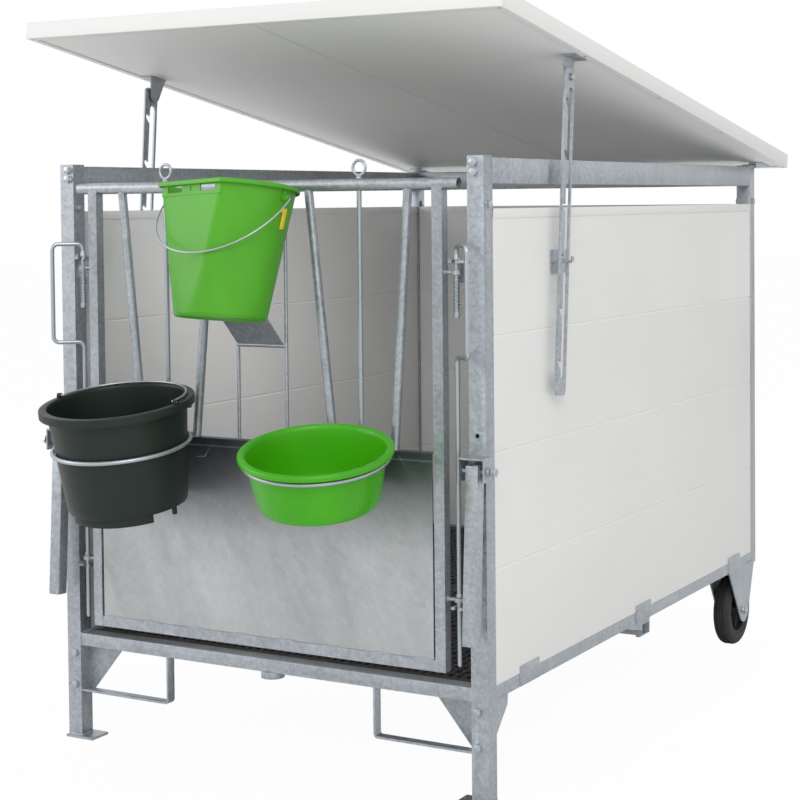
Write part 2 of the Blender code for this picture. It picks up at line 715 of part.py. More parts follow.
def lift_loop(side):
    """Flat bar bent from the post to the beam."""
    end = POST_IN - GAP
    x = POST_IN - LOOP_REACH[side]
    low = LOOP_BOTTOM
    thick = LOOP_THICKNESS
    outside = arc((x + LOOP_BEND, low + LOOP_BEND), LOOP_BEND, math.pi, math.pi * 1.5, 4)
    inside = arc((x + LOOP_BEND, low + LOOP_BEND), LOOP_BEND - thick, math.pi * 1.5, math.pi, 4)
    outline = [(x, RAIL_BOTTOM - GAP), *outside, (end, low), (end, low + thick), *inside,
               (x + thick, RAIL_BOTTOM - GAP)]
    return prism(outline, "Y", 0, LOOP_WIDTH)


def add_frame(root):
    for side in ("left", "right"):
        add_part(f"post_front_{side}", on_side(front_post(), side), GALVANISED, root)
        add_part(f"post_rear_{side}", on_side(rear_post(), side), GALVANISED, root)
        add_part(f"rail_lower_{side}", on_side(lower_rail(), side), GALVANISED, root)
        add_part(f"rail_upper_{side}", on_side(upper_rail(), side), GALVANISED, root)
        add_part(f"lift_loop_{side}", on_side(lift_loop(side), side), GALVANISED, root)
    add_part("beam_front", front_beam(), GALVANISED, root)
    add_part("beam_rear", rear_beam(), GALVANISED, root)
    add_part("crossbar_rear", rear_crossbar(), GALVANISED, root)
    add_part("cross_member", cross_member(), GALVANISED, root)


# Planks and floor


def wall_section():
    """Section of the planks across the wall: (distance from the outer face, height)."""
    joints = [WALL_BOTTOM + count * PLANK_HEIGHT for count in range(1, PLANK_COUNT)]
    outer = [(0, WALL_BOTTOM)]
    for joint in joints:
        outer += [(0, joint - GROOVE_HALF), (GROOVE_DEPTH, joint), (0, joint + GROOVE_HALF)]
    outer.append((0, WALL_TOP))
    inner = [(WALL_THICKNESS - depth, height) for depth, height in reversed(outer)]
    return outer + inner


def cap_section():
    """U of sheet that closes the planks' top edge."""
    top = WALL_TOP + GAP + CAP_TOP_SHEET
    low = top - CAP_HEIGHT
    outside, inside = -GAP - CAP_SHEET, -GAP
    far_inside, far_outside = WALL_THICKNESS + GAP, WALL_THICKNESS + GAP + CAP_SHEET
    return [(outside, low), (inside, low), (inside, WALL_TOP + GAP), (far_inside, WALL_TOP + GAP),
            (far_inside, low), (far_outside, low), (far_outside, top), (outside, top)]


def side_wall():
    outline = [(FRAME_HALF_WIDTH - depth, height) for depth, height in wall_section()]
    panel = prism(outline, "Y", POST + GAP, REAR - GAP)
    inner = FRAME_HALF_WIDTH - WALL_THICKNESS + WALL_SKIN
    hollow = box((inner, POST + GAP + WALL_SKIN, WALL_BOTTOM + WALL_SKIN),
                 (FRAME_HALF_WIDTH - WALL_SKIN, REAR - GAP - WALL_SKIN, WALL_TOP + CUT_PAST))
    return combined([panel], [hollow])


def rear_wall():
    half = POST_IN - GAP
    outline = [(FRAME_LENGTH - depth, height) for depth, height in wall_section()]
    panel = prism(outline, "X", -half, half)
    hollow = box((-half + WALL_SKIN, FRAME_LENGTH - WALL_THICKNESS + WALL_SKIN, WALL_BOTTOM + WALL_SKIN),
                 (half - WALL_SKIN, FRAME_LENGTH - WALL_SKIN, WALL_TOP + CUT_PAST))
    return combined([panel], [hollow])


def add_walls(root):
    cap = [(FRAME_HALF_WIDTH - depth, height) for depth, height in cap_section()]
    for side in ("left", "right"):
        add_part(f"wall_{side}", on_side(side_wall(), side), WHITE_PLANK, root)
        piece = prism(cap, "Y", POST + GAP, REAR - GAP)
        add_part(f"wall_cap_{side}", on_side(piece, side), WHITE_PLANK, root)
    cap = [(FRAME_LENGTH - depth, height) for depth, height in cap_section()]
    add_part("wall_rear", rear_wall(), WHITE_PLANK, root)
    add_part("wall_cap_rear", prism(cap, "X", -POST_IN + GAP, POST_IN - GAP), WHITE_PLANK, root)


def floor_panel(front, rear):
    """Floor grid as a plain slab: its slots are too small for this model."""
    half = POST_IN - GAP - FLOOR_CLEARANCE
    return box((-half, front, FLOOR_BOTTOM), (half, rear, FLOOR_TOP))


def add_floor(root):
    split = CROSS_MEMBER_Y + CROSS_MEMBER_WIDTH / 2
    add_part("floor_panel_front", floor_panel(POST + GAP, split - GAP), FLOOR_PLASTIC, root)
    add_part("floor_panel_rear", floor_panel(split + GAP, REAR - GAP), FLOOR_PLASTIC, root)


# Wheels


def tangent_angle(centre, radius, point, hand):
    """Angle on a circle where the line to an outside point touches it."""
    away = Vector(point) - Vector(centre)
    return math.atan2(away.y, away.x) + hand * math.acos(radius / away.length)


def wheel_fork():
    top = RAIL_BOTTOM - GAP
    tip = (FORK_TIP_Y, WHEEL_RADIUS)
    front, rear = (FORK_FRONT, top - 0.001), (FORK_REAR, top - 0.001)
    start = tangent_angle(tip, FORK_TIP_RADIUS, front, 1)
    end = tangent_angle(tip, FORK_TIP_RADIUS, rear, -1)
    outline = [front, *arc(tip, FORK_TIP_RADIUS, start, end + math.tau, 8), rear]
    outer = FRAME_HALF_WIDTH
    inner = outer - FORK_SPAN
    axle = (AXLE_Y, WHEEL_RADIUS)
    pieces = [
        box((inner, FORK_FRONT, top - FORK_PLATE), (outer, FRAME_LENGTH, top)),
        prism(outline, "X", outer - FORK_PLATE, outer - 0.0001),
        prism(outline, "X", inner + 0.0001, inner + FORK_PLATE),
        cylinder((inner - 0.004, *axle), (outer + 0.004, *axle), AXLE_RADIUS),
        cylinder((inner - 0.005, *axle), (inner + 0.001, *axle), 0.010, sides=12),
        cylinder((outer - 0.001, *axle), (outer + 0.005, *axle), 0.010, sides=12),
    ]
    return combined(pieces)


def wheel_rim():
    """Hub, disc and rim, turned about the wheel's own Z axis."""
    bore = AXLE_RADIUS + AXLE_CLEARANCE
    half = TYRE_WIDTH / 2 - 0.002
    hub = FORK_SPAN / 2 - FORK_PLATE - 0.0025
    well, lip = RIM_RADIUS - 0.010, RIM_RADIUS - 0.006
    profile = [(bore, -hub), (HUB_RADIUS - 0.004, -hub), (HUB_RADIUS, -0.006), (well, -0.004), (lip, -half),
               (RIM_RADIUS, -half), (RIM_RADIUS, half), (lip, half), (well, 0.004), (HUB_RADIUS, 0.006),
               (HUB_RADIUS - 0.004, hub), (bore, hub)]
    return turned(profile, WHEEL_SEGMENTS, closed=True)


def tyre():
    inner = RIM_RADIUS + GAP
    outer = WHEEL_RADIUS / math.cos(math.pi / WHEEL_SEGMENTS)  # its flats touch the ground
    half = TYRE_WIDTH / 2
    shoulder = 0.010
    profile = [(inner, -half + 0.004), (inner + 0.008, -half), (outer - shoulder, -half),
               (outer, -half + shoulder), (outer, half - shoulder), (outer - shoulder, half),
               (inner + 0.008, half), (inner, half - 0.004)]
    return turned(profile, WHEEL_SEGMENTS, closed=True)


def add_wheels(root):
    middle = FRAME_HALF_WIDTH - FORK_SPAN / 2
    tyre_shift = TYRE_OUTER_X - TYRE_WIDTH / 2 - middle
    turn = Matrix.Rotation(math.pi / 2, 4, "Y")
    level = Matrix.Rotation(math.pi / WHEEL_SEGMENTS, 4, "Z")
    for side, sign in (("left", -1), ("right", 1)):
        hub = (sign * middle, AXLE_Y, WHEEL_RADIUS)
        axle = empty(f"axle_{side}", hub, parent=root)
        add_part(f"wheel_fork_{side}", on_side(wheel_fork(), side), GALVANISED, root)
        add_part(f"wheel_rim_{side}", on_side(moved(wheel_rim(), turn @ level), side), RIM_GREY, axle)
        shifted = Matrix.Translation((tyre_shift, 0, 0)) @ turn @ level
        add_part(f"tyre_{side}", on_side(moved(tyre(), shifted), side), TYRE_RUBBER, axle)


# Roof, drawn closed: Y and Z from the hinge line


def roof_box(margin, bottom, top):
    return box((-ROOF_HALF_WIDTH + margin, -ROOF_FRONT_REACH + margin, bottom),
               (ROOF_HALF_WIDTH - margin, ROOF_REAR_REACH - margin, top))


def roof_panel_bottom():
    return ROOF_ABOVE_HINGE + TRIM_SHEET + GAP


def roof_panel():
    """Twin-skin panel whose hollow opens at the rear edge, behind the trim."""
    bottom = roof_panel_bottom()
    top = ROOF_ABOVE_HINGE + ROOF_THICKNESS - TRIM_SHEET - GAP
    margin = TRIM_SHEET + GAP
    side = ROOF_HALF_WIDTH - margin - ROOF_SKIN
    hollow = box((-side, -ROOF_FRONT_REACH + margin + ROOF_SKIN, bottom + ROOF_SKIN),
                 (side, ROOF_REAR_REACH + CUT_PAST, top - ROOF_SKIN))
    return combined([roof_box(margin, bottom, top)], [hollow])


def roof_trim():
    bottom, top = ROOF_ABOVE_HINGE, ROOF_ABOVE_HINGE + ROOF_THICKNESS
    return combined([roof_box(0, bottom, top)],
                    [roof_box(TRIM_SHEET, bottom + TRIM_SHEET, top - TRIM_SHEET),
                     roof_box(TRIM_LEG, bottom - CUT_PAST, top + CUT_PAST)])


def roof_hinge():
    """Roof's half of a hinge: knuckle, web and the leaf screwed under the panel."""
    low = hinge_split() + GAP / 2
    high = FRAME_HALF_WIDTH
    seat = roof_panel_bottom() - GAP
    pieces = [
        cylinder((low, 0, 0), (high, 0, 0), HINGE_RADIUS),
        box((low, -0.002, 0.0045), (high, 0.0035, seat - 0.001)),
        box((low, -0.004, seat - HINGE_LEAF), (high + 0.020, ROOF_REAR_REACH - TRIM_LEG - 0.003, seat)),
    ]
    bore = cylinder((low - CUT_PAST, 0, 0), (high + CUT_PAST, 0, 0), HINGE_PIN_RADIUS + HINGE_CLEARANCE)
    return combined(pieces, [bore])


def strut_bracket():
    """Flange under the roof's edge, with a cheek that carries the strut on a bolt."""
    seat = roof_panel_bottom() - GAP
    pivot = (-STRUT_PIVOT_REACH, ROOF_ABOVE_HINGE - STRUT_PIVOT_DROP)
    front = pivot[0] - STRUT_BRACKET_AHEAD
    rear = pivot[0] + STRUT_BRACKET_BEHIND
    tip = 0.016
    start = tangent_angle(pivot, tip, (front, seat - 0.001), 1)
    end = tangent_angle(pivot, tip, (rear, seat - 0.001), -1)
    cheek = [(front, seat - 0.001), *arc(pivot, tip, start, end + math.tau, 6), (rear, seat - 0.001)]
    cheek_out = STRUT_X - 0.004
    cheek_in = cheek_out - STRUT_BRACKET_SHEET
    strut_out = STRUT_X + STRUT_THICKNESS
    pieces = [
        box((cheek_in - 0.0005, front - 0.0005, seat - STRUT_BRACKET_SHEET),
            (ROOF_HALF_WIDTH - TRIM_LEG - BRACKET_FROM_TRIM, rear + 0.0005, seat)),
        prism(cheek, "X", cheek_in, cheek_out),
        cylinder((cheek_in - 0.004, *pivot), (strut_out + 0.002, *pivot), STRUT_BOLT_RADIUS),
        cylinder((cheek_in - 0.005, *pivot), (cheek_in + 0.001, *pivot), STRUT_BOLT_HEAD, sides=12),
        cylinder((cheek_out - 0.001, *pivot), (STRUT_X - GAP, *pivot), STRUT_BOLT_HEAD, sides=12),
        cylinder((strut_out + GAP, *pivot), (strut_out + 0.005, *pivot), STRUT_BOLT_HEAD, sides=12),
    ]
    return combined(pieces)


def strut():
    """Slotted flat bar, drawn hanging from its bolt at the origin; -Y is its front edge."""
    front = -SLOT_WIDTH / 2 - STRUT_FRONT_STRIP
    rear = SLOT_WIDTH / 2 + STRUT_REAR_STRIP
    corner = 0.012
    outline = []
    high, low = STRUT_TOP - corner, corner - STRUT_LENGTH
    for y, z, start in ((rear - corner, high, 0), (front + corner, high, 1),
                        (front + corner, low, 2), (rear - corner, low, 3)):
        outline += arc((y, z), corner, start * math.pi / 2, (start + 1) * math.pi / 2, 3)
    bar = prism(outline, "X", STRUT_X, STRUT_X + STRUT_THICKNESS)
    low, high = STRUT_X - CUT_PAST, STRUT_X + STRUT_THICKNESS + CUT_PAST
    half = SLOT_WIDTH / 2
    slot = [*arc((0, -SLOT_START - half), half, 0, math.pi, 6),
            *arc((0, -SLOT_END + half), half, math.pi, math.tau, 6)]
    cuts = [prism(slot, "X", low, high),
            cylinder((low, 0, 0), (high, 0, 0), STRUT_BOLT_RADIUS + STRUT_BOLT_CLEARANCE)]
    for count in range(NOTCH_COUNT):
        root_z = -(NOTCH_FIRST + count * NOTCH_PITCH)
        tip = (-NOTCH_REACH + NOTCH_WIDTH / 2, root_z + NOTCH_REACH - NOTCH_WIDTH / 2)
        back = arc(tip, NOTCH_WIDTH / 2, math.pi / 4, math.pi * 1.25, 5)
        half_step = NOTCH_WIDTH / 2 * math.sqrt(0.5)
        notch = [(half_step, root_z + half_step), *back, (-half_step, root_z - half_step)]
        cuts.append(prism(notch, "X", low, high))
    return combined([bar], cuts)


def strut_pivot():
    """Strut bolt in the pen's frame: (Y, Z)."""
    rise = ROOF_ABOVE_HINGE - STRUT_PIVOT_DROP
    y = HINGE_Y - STRUT_PIVOT_REACH * math.cos(ROOF_TILT) + rise * math.sin(ROOF_TILT)
    z = HINGE_Z + STRUT_PIVOT_REACH * math.sin(ROOF_TILT) + rise * math.cos(ROOF_TILT)
    return y, z


def wall_pin():
    """Pin in the pen's frame: (Y, Z), where the strut's slot lies on it."""
    y, z = strut_pivot()
    lean = STRUT_LEAN
    return (y - PIN_ALONG_STRUT * math.sin(lean) + PIN_BEHIND_SLOT * math.cos(lean),
            z - PIN_ALONG_STRUT * math.cos(lean) - PIN_BEHIND_SLOT * math.sin(lean))


def strut_pin():
    """Plate on the planks with the pin that the strut hangs on."""
    y, z = wall_pin()
    face = FRAME_HALF_WIDTH + GAP
    end = face + PIN_PLATE_THICKNESS + PIN_REACH
    pieces = [
        box((face, y - PIN_PLATE_LENGTH / 2, z - PIN_PLATE_HEIGHT / 2),
            (face + PIN_PLATE_THICKNESS, y + PIN_PLATE_LENGTH / 2, z + PIN_PLATE_HEIGHT / 2)),
        wire(rounded([(face + 0.002, y, z), (end - PIN_RADIUS, y, z), (end - PIN_RADIUS, y, z + PIN_TURN)],
                     0.005), PIN_RADIUS),
    ]
    for step in (-1, 1):
        bolt = (face + PIN_PLATE_THICKNESS, y + step * (PIN_PLATE_LENGTH / 2 - 0.012), z)
        pieces.append(bolt_head(bolt, (1, 0, 0), 0.006, 0.003))
    return combined(pieces)


def add_roof(root):
    hinge = empty("roof_hinge_line", (0, HINGE_Y, HINGE_Z), (-ROOF_TILT, 0, 0), root)
    add_part("roof_panel", roof_panel(), ROOF_WHITE, hinge)
    add_part("roof_trim", roof_trim(), ROOF_WHITE, hinge)
    for side, sign in (("left", -1), ("right", 1)):
        add_part(f"roof_hinge_{side}", on_side(roof_hinge(), side), GALVANISED, hinge)
        add_part(f"strut_bracket_{side}", on_side(strut_bracket(), side), GALVANISED, hinge)
        bolt = empty(f"strut_bolt_{side}", (0, -STRUT_PIVOT_REACH, ROOF_ABOVE_HINGE - STRUT_PIVOT_DROP),
                     (ROOF_TILT - STRUT_LEAN, 0, 0), hinge)
        pivot = (sign * STRUT_X, 0, 0)
        add_part(f"strut_{side}", on_side(strut(), side), GALVANISED, bolt, pivot)
        add_part(f"strut_pin_{side}", on_side(strut_pin(), side), GALVANISED, root)


# Gate


def gate_eye(x_sign, height):
    """Arm from the gate's side tube with an eye round the latch rod."""
    rod = x_sign * ROD_X
    start = x_sign * (GATE_HALF_WIDTH - OVERLAP + 0.001)
    arm = cylinder((start, 0, height), (rod - x_sign * (EYE_RADIUS - 0.003), 0, height),
                   EYE_HEIGHT / 2 - 0.0002, sides=12)
    ring = cylinder((rod, 0, height - EYE_HEIGHT / 2), (rod, 0, height + EYE_HEIGHT / 2), EYE_RADIUS)
    hole = cylinder((rod, 0, height - 0.02), (rod, 0, height + 0.02), ROD_RADIUS + ROD_CLEARANCE)
    return [arm, ring], hole


def bucket_holder():
    """Thin rods and the sloping plate that carry the drinking bucket."""
    left, right = HOLDER_RODS
    radius = HOLDER_ROD_RADIUS
    pieces = []
    for x in HOLDER_RODS:
        pieces.append(cylinder((x, 0, SHEET_TOP - 0.003), (x, 0, TOP_TUBE_Z), radius, sides=10))
    pieces.append(cylinder((left - 0.001, 0, HOLDER_Z), (right + 0.001, 0, HOLDER_Z), radius + 0.001,
                           sides=10))
    foot, tip = (0.0015, HOLDER_Z), (-HOLDER_REACH, HOLDER_Z + HOLDER_RISE)
    below = HOLDER_PLATE * math.sqrt(0.5)
    slope = [foot, tip, (tip[0] - below, tip[1] - below), (foot[0] - below, foot[1] - below)]
    pieces.append(prism(slope, "X", left + 0.001, right - 0.006))
    line = rounded([(left, 0.001, LIP_ROD_Z), (left, LIP_ROD_Y, LIP_ROD_Z), (right, LIP_ROD_Y, LIP_ROD_Z),
                    (right, 0.001, LIP_ROD_Z)], 0.006)
    pieces.append(wire(line, radius - LIP_ROD_THINNER))
    return pieces


def gate_frame():
    half, tube_width, wall = GATE_HALF_WIDTH, GATE_TUBE, GATE_WALL
    thick = tube_width / 2
    inner = half - tube_width
    end = TOP_TUBE_HALF
    pieces = [cylinder((-end, 0, TOP_TUBE_Z), (end, 0, TOP_TUBE_Z), TOP_TUBE_RADIUS, sides=20)]
    cuts = [cylinder((-end - CUT_PAST, 0, TOP_TUBE_Z), (end + CUT_PAST, 0, TOP_TUBE_Z),
                     TOP_TUBE_RADIUS - TOP_TUBE_WALL, sides=20)]
    for side in (-1, 1):
        near, far = sorted((side * inner, side * half))
        pieces.append(box((near, -thick, GATE_BOTTOM), (far, thick, TOP_TUBE_Z - 0.001)))
        cuts.append(box((near + wall, -thick + wall, GATE_BOTTOM + wall),
                        (far - wall, thick - wall, TOP_TUBE_Z)))
        for height in (UPPER_EYE_Z, LOWER_EYE_Z):
            eye, hole = gate_eye(side, height)
            pieces += eye
            cuts.append(hole)
    pieces.append(box((-inner - 0.001, -thick + 0.0002, GATE_BOTTOM + 0.0002),
                      (inner + 0.001, thick - 0.0002, GATE_BOTTOM + tube_width)))
    cuts.append(box((-inner - CUT_PAST, -thick + wall + 0.0003, GATE_BOTTOM + wall + 0.0003),
                    (inner + CUT_PAST, thick - wall - 0.0003, GATE_BOTTOM + tube_width - wall)))
    for shares in BAR_SHARES:
        top, bottom = (half * share for share in shares)
        lean = (bottom - top) / (TOP_TUBE_Z - SHEET_TOP)
        low = (bottom + lean * 0.006, 0, SHEET_TOP - 0.006)
        pieces.append(cylinder(low, (top, 0, TOP_TUBE_Z), BAR_RADIUS, sides=14))
    pieces += bucket_holder()
    cuts.append(box((-inner + 0.0005, -thick - CUT_PAST, SHEET_TOP - 0.02),
                    (inner - 0.0005, thick + CUT_PAST, SHEET_TOP + GAP)))
    for x in RING_ROD_X.values():
        cuts.append(cylinder((x, 0, TOP_TUBE_Z - 0.03), (x, 0, TOP_TUBE_Z + 0.03),
                             RING_ROD_RADIUS + RING_ROD_CLEARANCE))
    return combined(pieces, cuts)


def gate_sheet():
    """Sheet that stands on the bottom tube, folded back at the top between the side tubes."""
    inner = GATE_HALF_WIDTH - GATE_TUBE
    plate = inner - SHEET_SLIT
    flange = inner - GAP
    bottom = GATE_BOTTOM + GATE_TUBE + GAP
    front = -SHEET_FRONT
    pieces = [
        box((-plate, front, bottom), (plate, front + SHEET_THICKNESS, SHEET_TOP - 0.0005)),
        box((-flange, front + 0.0001, SHEET_TOP - SHEET_THICKNESS), (flange, GATE_TUBE / 2, SHEET_TOP)),
    ]
    bore = RING_ROD_RADIUS + RING_ROD_CLEARANCE
    holes = [cylinder((x, 0, SHEET_TOP - CUT_PAST), (x, 0, SHEET_TOP + CUT_PAST), bore)
             for x in RING_ROD_X.values()]
    return combined(pieces, holes)


def circle(radius, count, centre=(0, 0, 0), upright=False):
    points = []
    for step in range(count):
        angle = math.tau * step / count
        across, along = radius * math.cos(angle), radius * math.sin(angle)
        offset = (across, 0, along) if upright else (across, along, 0)
        points.append(tuple(a + b for a, b in zip(centre, offset)))
    return points


def ring_rod(x):
    """Lift-out bar with a ring to pull it by, resting on the top tube by its collar."""
    tube_top = TOP_TUBE_Z + TOP_TUBE_RADIUS
    ring_z = tube_top + 0.004 + RING_WIRE + RING_RADIUS
    ring_low = ring_z - RING_RADIUS
    pieces = [
        cylinder((x, 0, RING_ROD_BOTTOM), (x, 0, ring_low), RING_ROD_RADIUS, sides=12),
        cylinder((x, 0, tube_top + GAP), (x, 0, tube_top + 0.0035), RING_ROD_RADIUS + 0.002, sides=12),
        wire(circle(RING_RADIUS, 16, (x, 0, ring_z), upright=True), RING_WIRE, cyclic=True),
    ]
    return combined(pieces)


def latch_rod():
    """One bent rod: spring stub, collar, hand grip and the long lower pin."""
    x = ROD_X
    grip = (x + HANDLE_OUT, -HANDLE_FORWARD)
    line = rounded([(x, 0, ROD_STUB), (x, 0, ROD_TOP), (*grip, ROD_TOP), (*grip, HANDLE_LOW),
                    (x, 0, HANDLE_LOW), (x, 0, ROD_BOTTOM)], ROD_BEND)
    collar = UPPER_FORK_Z + FORK_SHEET / 2 + GAP
    low_collar = LOWER_EYE_Z + EYE_HEIGHT / 2 + GAP
    pieces = [
        wire(line, ROD_RADIUS, resolution=2),
        cylinder((x, 0, collar), (x, 0, collar + 0.004), COLLAR_RADIUS, sides=14),
        cylinder((x, 0, collar + 0.003), (x, 0, collar + 0.013), COLLAR_RADIUS - 0.001,
                 ROD_RADIUS + 0.0007, sides=14),
        cylinder((x, 0, SPRING_SEAT - 0.002), (x, 0, SPRING_SEAT), SPRING_RADIUS + SPRING_WIRE, sides=14),
        cylinder((x, 0, ROD_STUB - 0.001), (x, 0, SPRING_SEAT - 0.001), ROD_RADIUS + 0.0015, sides=14),
        cylinder((x, 0, low_collar), (x, 0, low_collar + 0.008), COLLAR_RADIUS - 0.0005,
                 ROD_RADIUS + 0.0012, sides=14),
    ]
    return combined(pieces)


def spring_line():
    """Points of the latch spring: a steady helix whose ends stand straight on their seats."""
    low = SPRING_SEAT + GAP
    high = UPPER_EYE_Z - EYE_HEIGHT / 2 - GAP
    straight = 2 * SPRING_WIRE
    count = SPRING_TURNS * SPRING_POINTS
    rise = high - low - 2 * straight
    points = [Vector((SPRING_RADIUS, 0, low))]
    for step in range(count + 1):
        angle = math.tau * step / SPRING_POINTS
        height = low + straight + rise * step / count
        points.append(Vector((SPRING_RADIUS * math.cos(angle), SPRING_RADIUS * math.sin(angle), height)))
    points.append(points[-1] + Vector((0, 0, straight)))
    return [point + Vector((ROD_X, 0, 0)) for point in points]


def least_gap(points, radius):
    """Least distance between the skins of stretches of tube that aren't neighbours."""
    apart = SPRING_POINTS // 2
    spacing = [(first - second).length for index, first in enumerate(points)
               for second in points[index + apart:]]
    return min(spacing) - 2 * radius


def fold_handle():
    """Square tube on its bolt, drawn hanging straight down."""
    half = HANDLE_TUBE / 2
    y, z = HANDLE_PIVOT_Y, HANDLE_PIVOT_Z
    low, high = z - HANDLE_LENGTH + HANDLE_ABOVE_PIVOT, z + HANDLE_ABOVE_PIVOT
    wall = HANDLE_WALL
    body = box((HANDLE_X - half, y - half, low), (HANDLE_X + half, y + half, high))
    hollow = box((HANDLE_X - half + wall, y - half + wall, low - CUT_PAST),
                 (HANDLE_X + half - wall, y + half - wall, high + CUT_PAST))
    hole = cylinder((HANDLE_X - 0.03, y, z), (HANDLE_X + 0.03, y, z), HANDLE_BOLT + ROD_CLEARANCE, sides=12)
    mesh = combined([body], [hollow, hole])
    about = Matrix.Translation((0, y, z))
    return moved(mesh, about @ Matrix.Rotation(-HANDLE_LEAN, 4, "X") @ about.inverted())


def handle_bracket():
    """Channel on the post's front face, with the bolt that the handle swings on."""
    low, high = HANDLE_X - CHANNEL_HALF, HANDLE_X + CHANNEL_HALF
    sheet = CHANNEL_SHEET
    channel = combined([box((low, -CHANNEL_DEPTH, CHANNEL_BOTTOM), (high, -GAP, CHANNEL_TOP))],
                       [box((low + sheet, -CHANNEL_DEPTH - CUT_PAST, CHANNEL_BOTTOM - CUT_PAST),
                            (high - sheet, -GAP - sheet, CHANNEL_TOP - sheet))])
    bolt = (HANDLE_PIVOT_Y, HANDLE_PIVOT_Z)
    pieces = [
        channel,
        cylinder((low - 0.004, *bolt), (high + 0.004, *bolt), HANDLE_BOLT, sides=12),
        cylinder((low - 0.005, *bolt), (low + 0.001, *bolt), 0.009, sides=12),
        cylinder((high - 0.001, *bolt), (high + 0.005, *bolt), 0.009, sides=12),
    ]
    return combined(pieces)


def add_gate(root):
    add_part("gate_frame", gate_frame(), GALVANISED, root, (-ROD_X, 0, 0))
    add_part("gate_sheet", gate_sheet(), GALVANISED_SHEET, root, (-ROD_X, 0, 0))
    points = spring_line()
    print(f"latch spring: least gap to itself {least_gap(points, SPRING_WIRE) * 1000:.2f} mm")
    for side, sign in (("left", -1), ("right", 1)):
        x = RING_ROD_X[side]
        add_part(f"ring_rod_{side}", ring_rod(x), GALVANISED, root, (x, 0, TOP_TUBE_Z))
        rod = (sign * ROD_X, 0, UPPER_FORK_Z)
        add_part(f"latch_rod_{side}", on_side(latch_rod(), side), GALVANISED, root, rod)
        coil = on_side(wire(points, SPRING_WIRE), side)
        add_part(f"latch_spring_{side}", coil, GALVANISED, root, (sign * ROD_X, 0, SPRING_SEAT))
        bolt = (sign * HANDLE_X, HANDLE_PIVOT_Y, HANDLE_PIVOT_Z)
        add_part(f"fold_handle_{side}", on_side(fold_handle(), side), GALVANISED, root, bolt)
        add_part(f"handle_bracket_{side}", on_side(handle_bracket(), side), GALVANISED, root)


# Buckets and bowl


def bail(half, reach, radius, tail):
    """Wire handle in the XY plane that reaches towards -Y; its straight ends turn in or out along X."""
    way = 1 if tail > half else -1
    steps, bend = 20, 0.003
    side = [Vector((tail, 0, 0)), Vector((half + way * bend, 0, 0)),
            Vector((half + way * bend * 0.3, -bend * 0.3, 0))]
    line = list(side)
    for step in range(1, steps):
        angle = math.pi * step / steps
        line.append(Vector((half * math.cos(angle), -reach * math.sin(angle), 0)))
    line += [Vector((-point.x, point.y, 0)) for point in reversed(side)]
    return wire(line, radius)


def half_space(distance, low, high):
    """Everything beyond a flat side that faces -Y at this distance from the axis."""
    reach = 2 * GREEN_TOP_RADIUS
    return box((-reach, -reach, low), (reach, -distance, high))


def ears(wall_radius, height, bail_radius):
    pieces, holes = [], []
    for side in (-1, 1):
        start, end = side * (wall_radius - OVERLAP), side * (wall_radius + EAR_REACH)
        pieces.append(cylinder((start, 0, height), (end, 0, height), EAR_RADIUS, sides=14))
        holes.append(cylinder((side * (wall_radius + 0.001), 0, height), (end + side * 0.01, 0, height),
                              bail_radius + EAR_CLEARANCE, sides=12))
    return pieces, holes


def green_radius(height):
    return GREEN_BASE_RADIUS + (GREEN_TOP_RADIUS - GREEN_BASE_RADIUS) * height / GREEN_HEIGHT


def green_bucket():
    """Bucket with a flat side, a turned-down rim and hanging slots under the rim."""
    height, wall, flat, top = GREEN_HEIGHT, GREEN_WALL, GREEN_FLAT, GREEN_TOP_RADIUS
    rim = top + GREEN_LIP
    cone = turned([(0, 0), (GREEN_BASE_RADIUS, 0), (top, height - 0.0005), (0, height - 0.0005)])
    shell = combined([cone], [half_space(flat, -CUT_PAST, height + CUT_PAST)])
    skirt = height - GREEN_SKIRT
    lip = combined([turned([(0, skirt), (rim, skirt), (rim, height), (0, height)])],
                   [half_space(flat + GREEN_LIP, 0, height + CUT_PAST)])
    hollow = turned([(0, skirt - CUT_PAST), (rim - wall, skirt - CUT_PAST), (rim - wall, height - wall),
                     (0, height - wall)])
    under = combined([hollow], [half_space(flat + GREEN_LIP - wall, 0, height + CUT_PAST)])
    mouth = green_radius(height + CUT_PAST) - wall
    inside = combined([turned([(0, wall), (GREEN_BASE_RADIUS - wall, wall), (mouth, height + CUT_PAST),
                               (0, height + CUT_PAST)])],
                      [half_space(flat - wall, 0, height + 2 * CUT_PAST)])
    holes = [inside]
    slot_z = height - GREEN_SLOT_DROP
    for middle, (length, tall) in ((-GREEN_SLOT_AT, GREEN_SLOT), (GREEN_SLOT_AT, GREEN_SLOT),
                                   (0, GREEN_MIDDLE_SLOT)):
        holes.append(box((middle - length / 2, -flat - CUT_PAST, slot_z - tall / 2),
                         (middle + length / 2, -flat + CUT_PAST, slot_z + tall / 2)))
    turn = Matrix.Rotation(GREEN_FLAT_TURN, 4, "Z")
    body = moved(combined([shell, combined([lip], [under])], holes), turn)
    ear_height = height - GREEN_EAR_DROP
    pieces, ear_holes = ears(green_radius(ear_height), ear_height, GREEN_BAIL_WIRE)
    return combined([body, *pieces], ear_holes)


def bail_clip():
    """Yellow clip under the rim, beside the right ear."""
    thick, width, tall = CLIP_SIZE
    high = GREEN_HEIGHT - CLIP_DROP
    radius = green_radius(high) + GAP
    lean = math.atan((GREEN_TOP_RADIUS - GREEN_BASE_RADIUS) / GREEN_HEIGHT)
    plate = combined([box((0, -width / 2, -tall), (thick, width / 2, 0)),
                      box((0.0002, -width, -0.010), (thick - 0.0002, 0, -0.0002))])
    return moved(plate, Matrix.Rotation(CLIP_TURN, 4, "Z") @ Matrix.Translation((radius, 0, high))
                 @ Matrix.Rotation(lean, 4, "Y"))


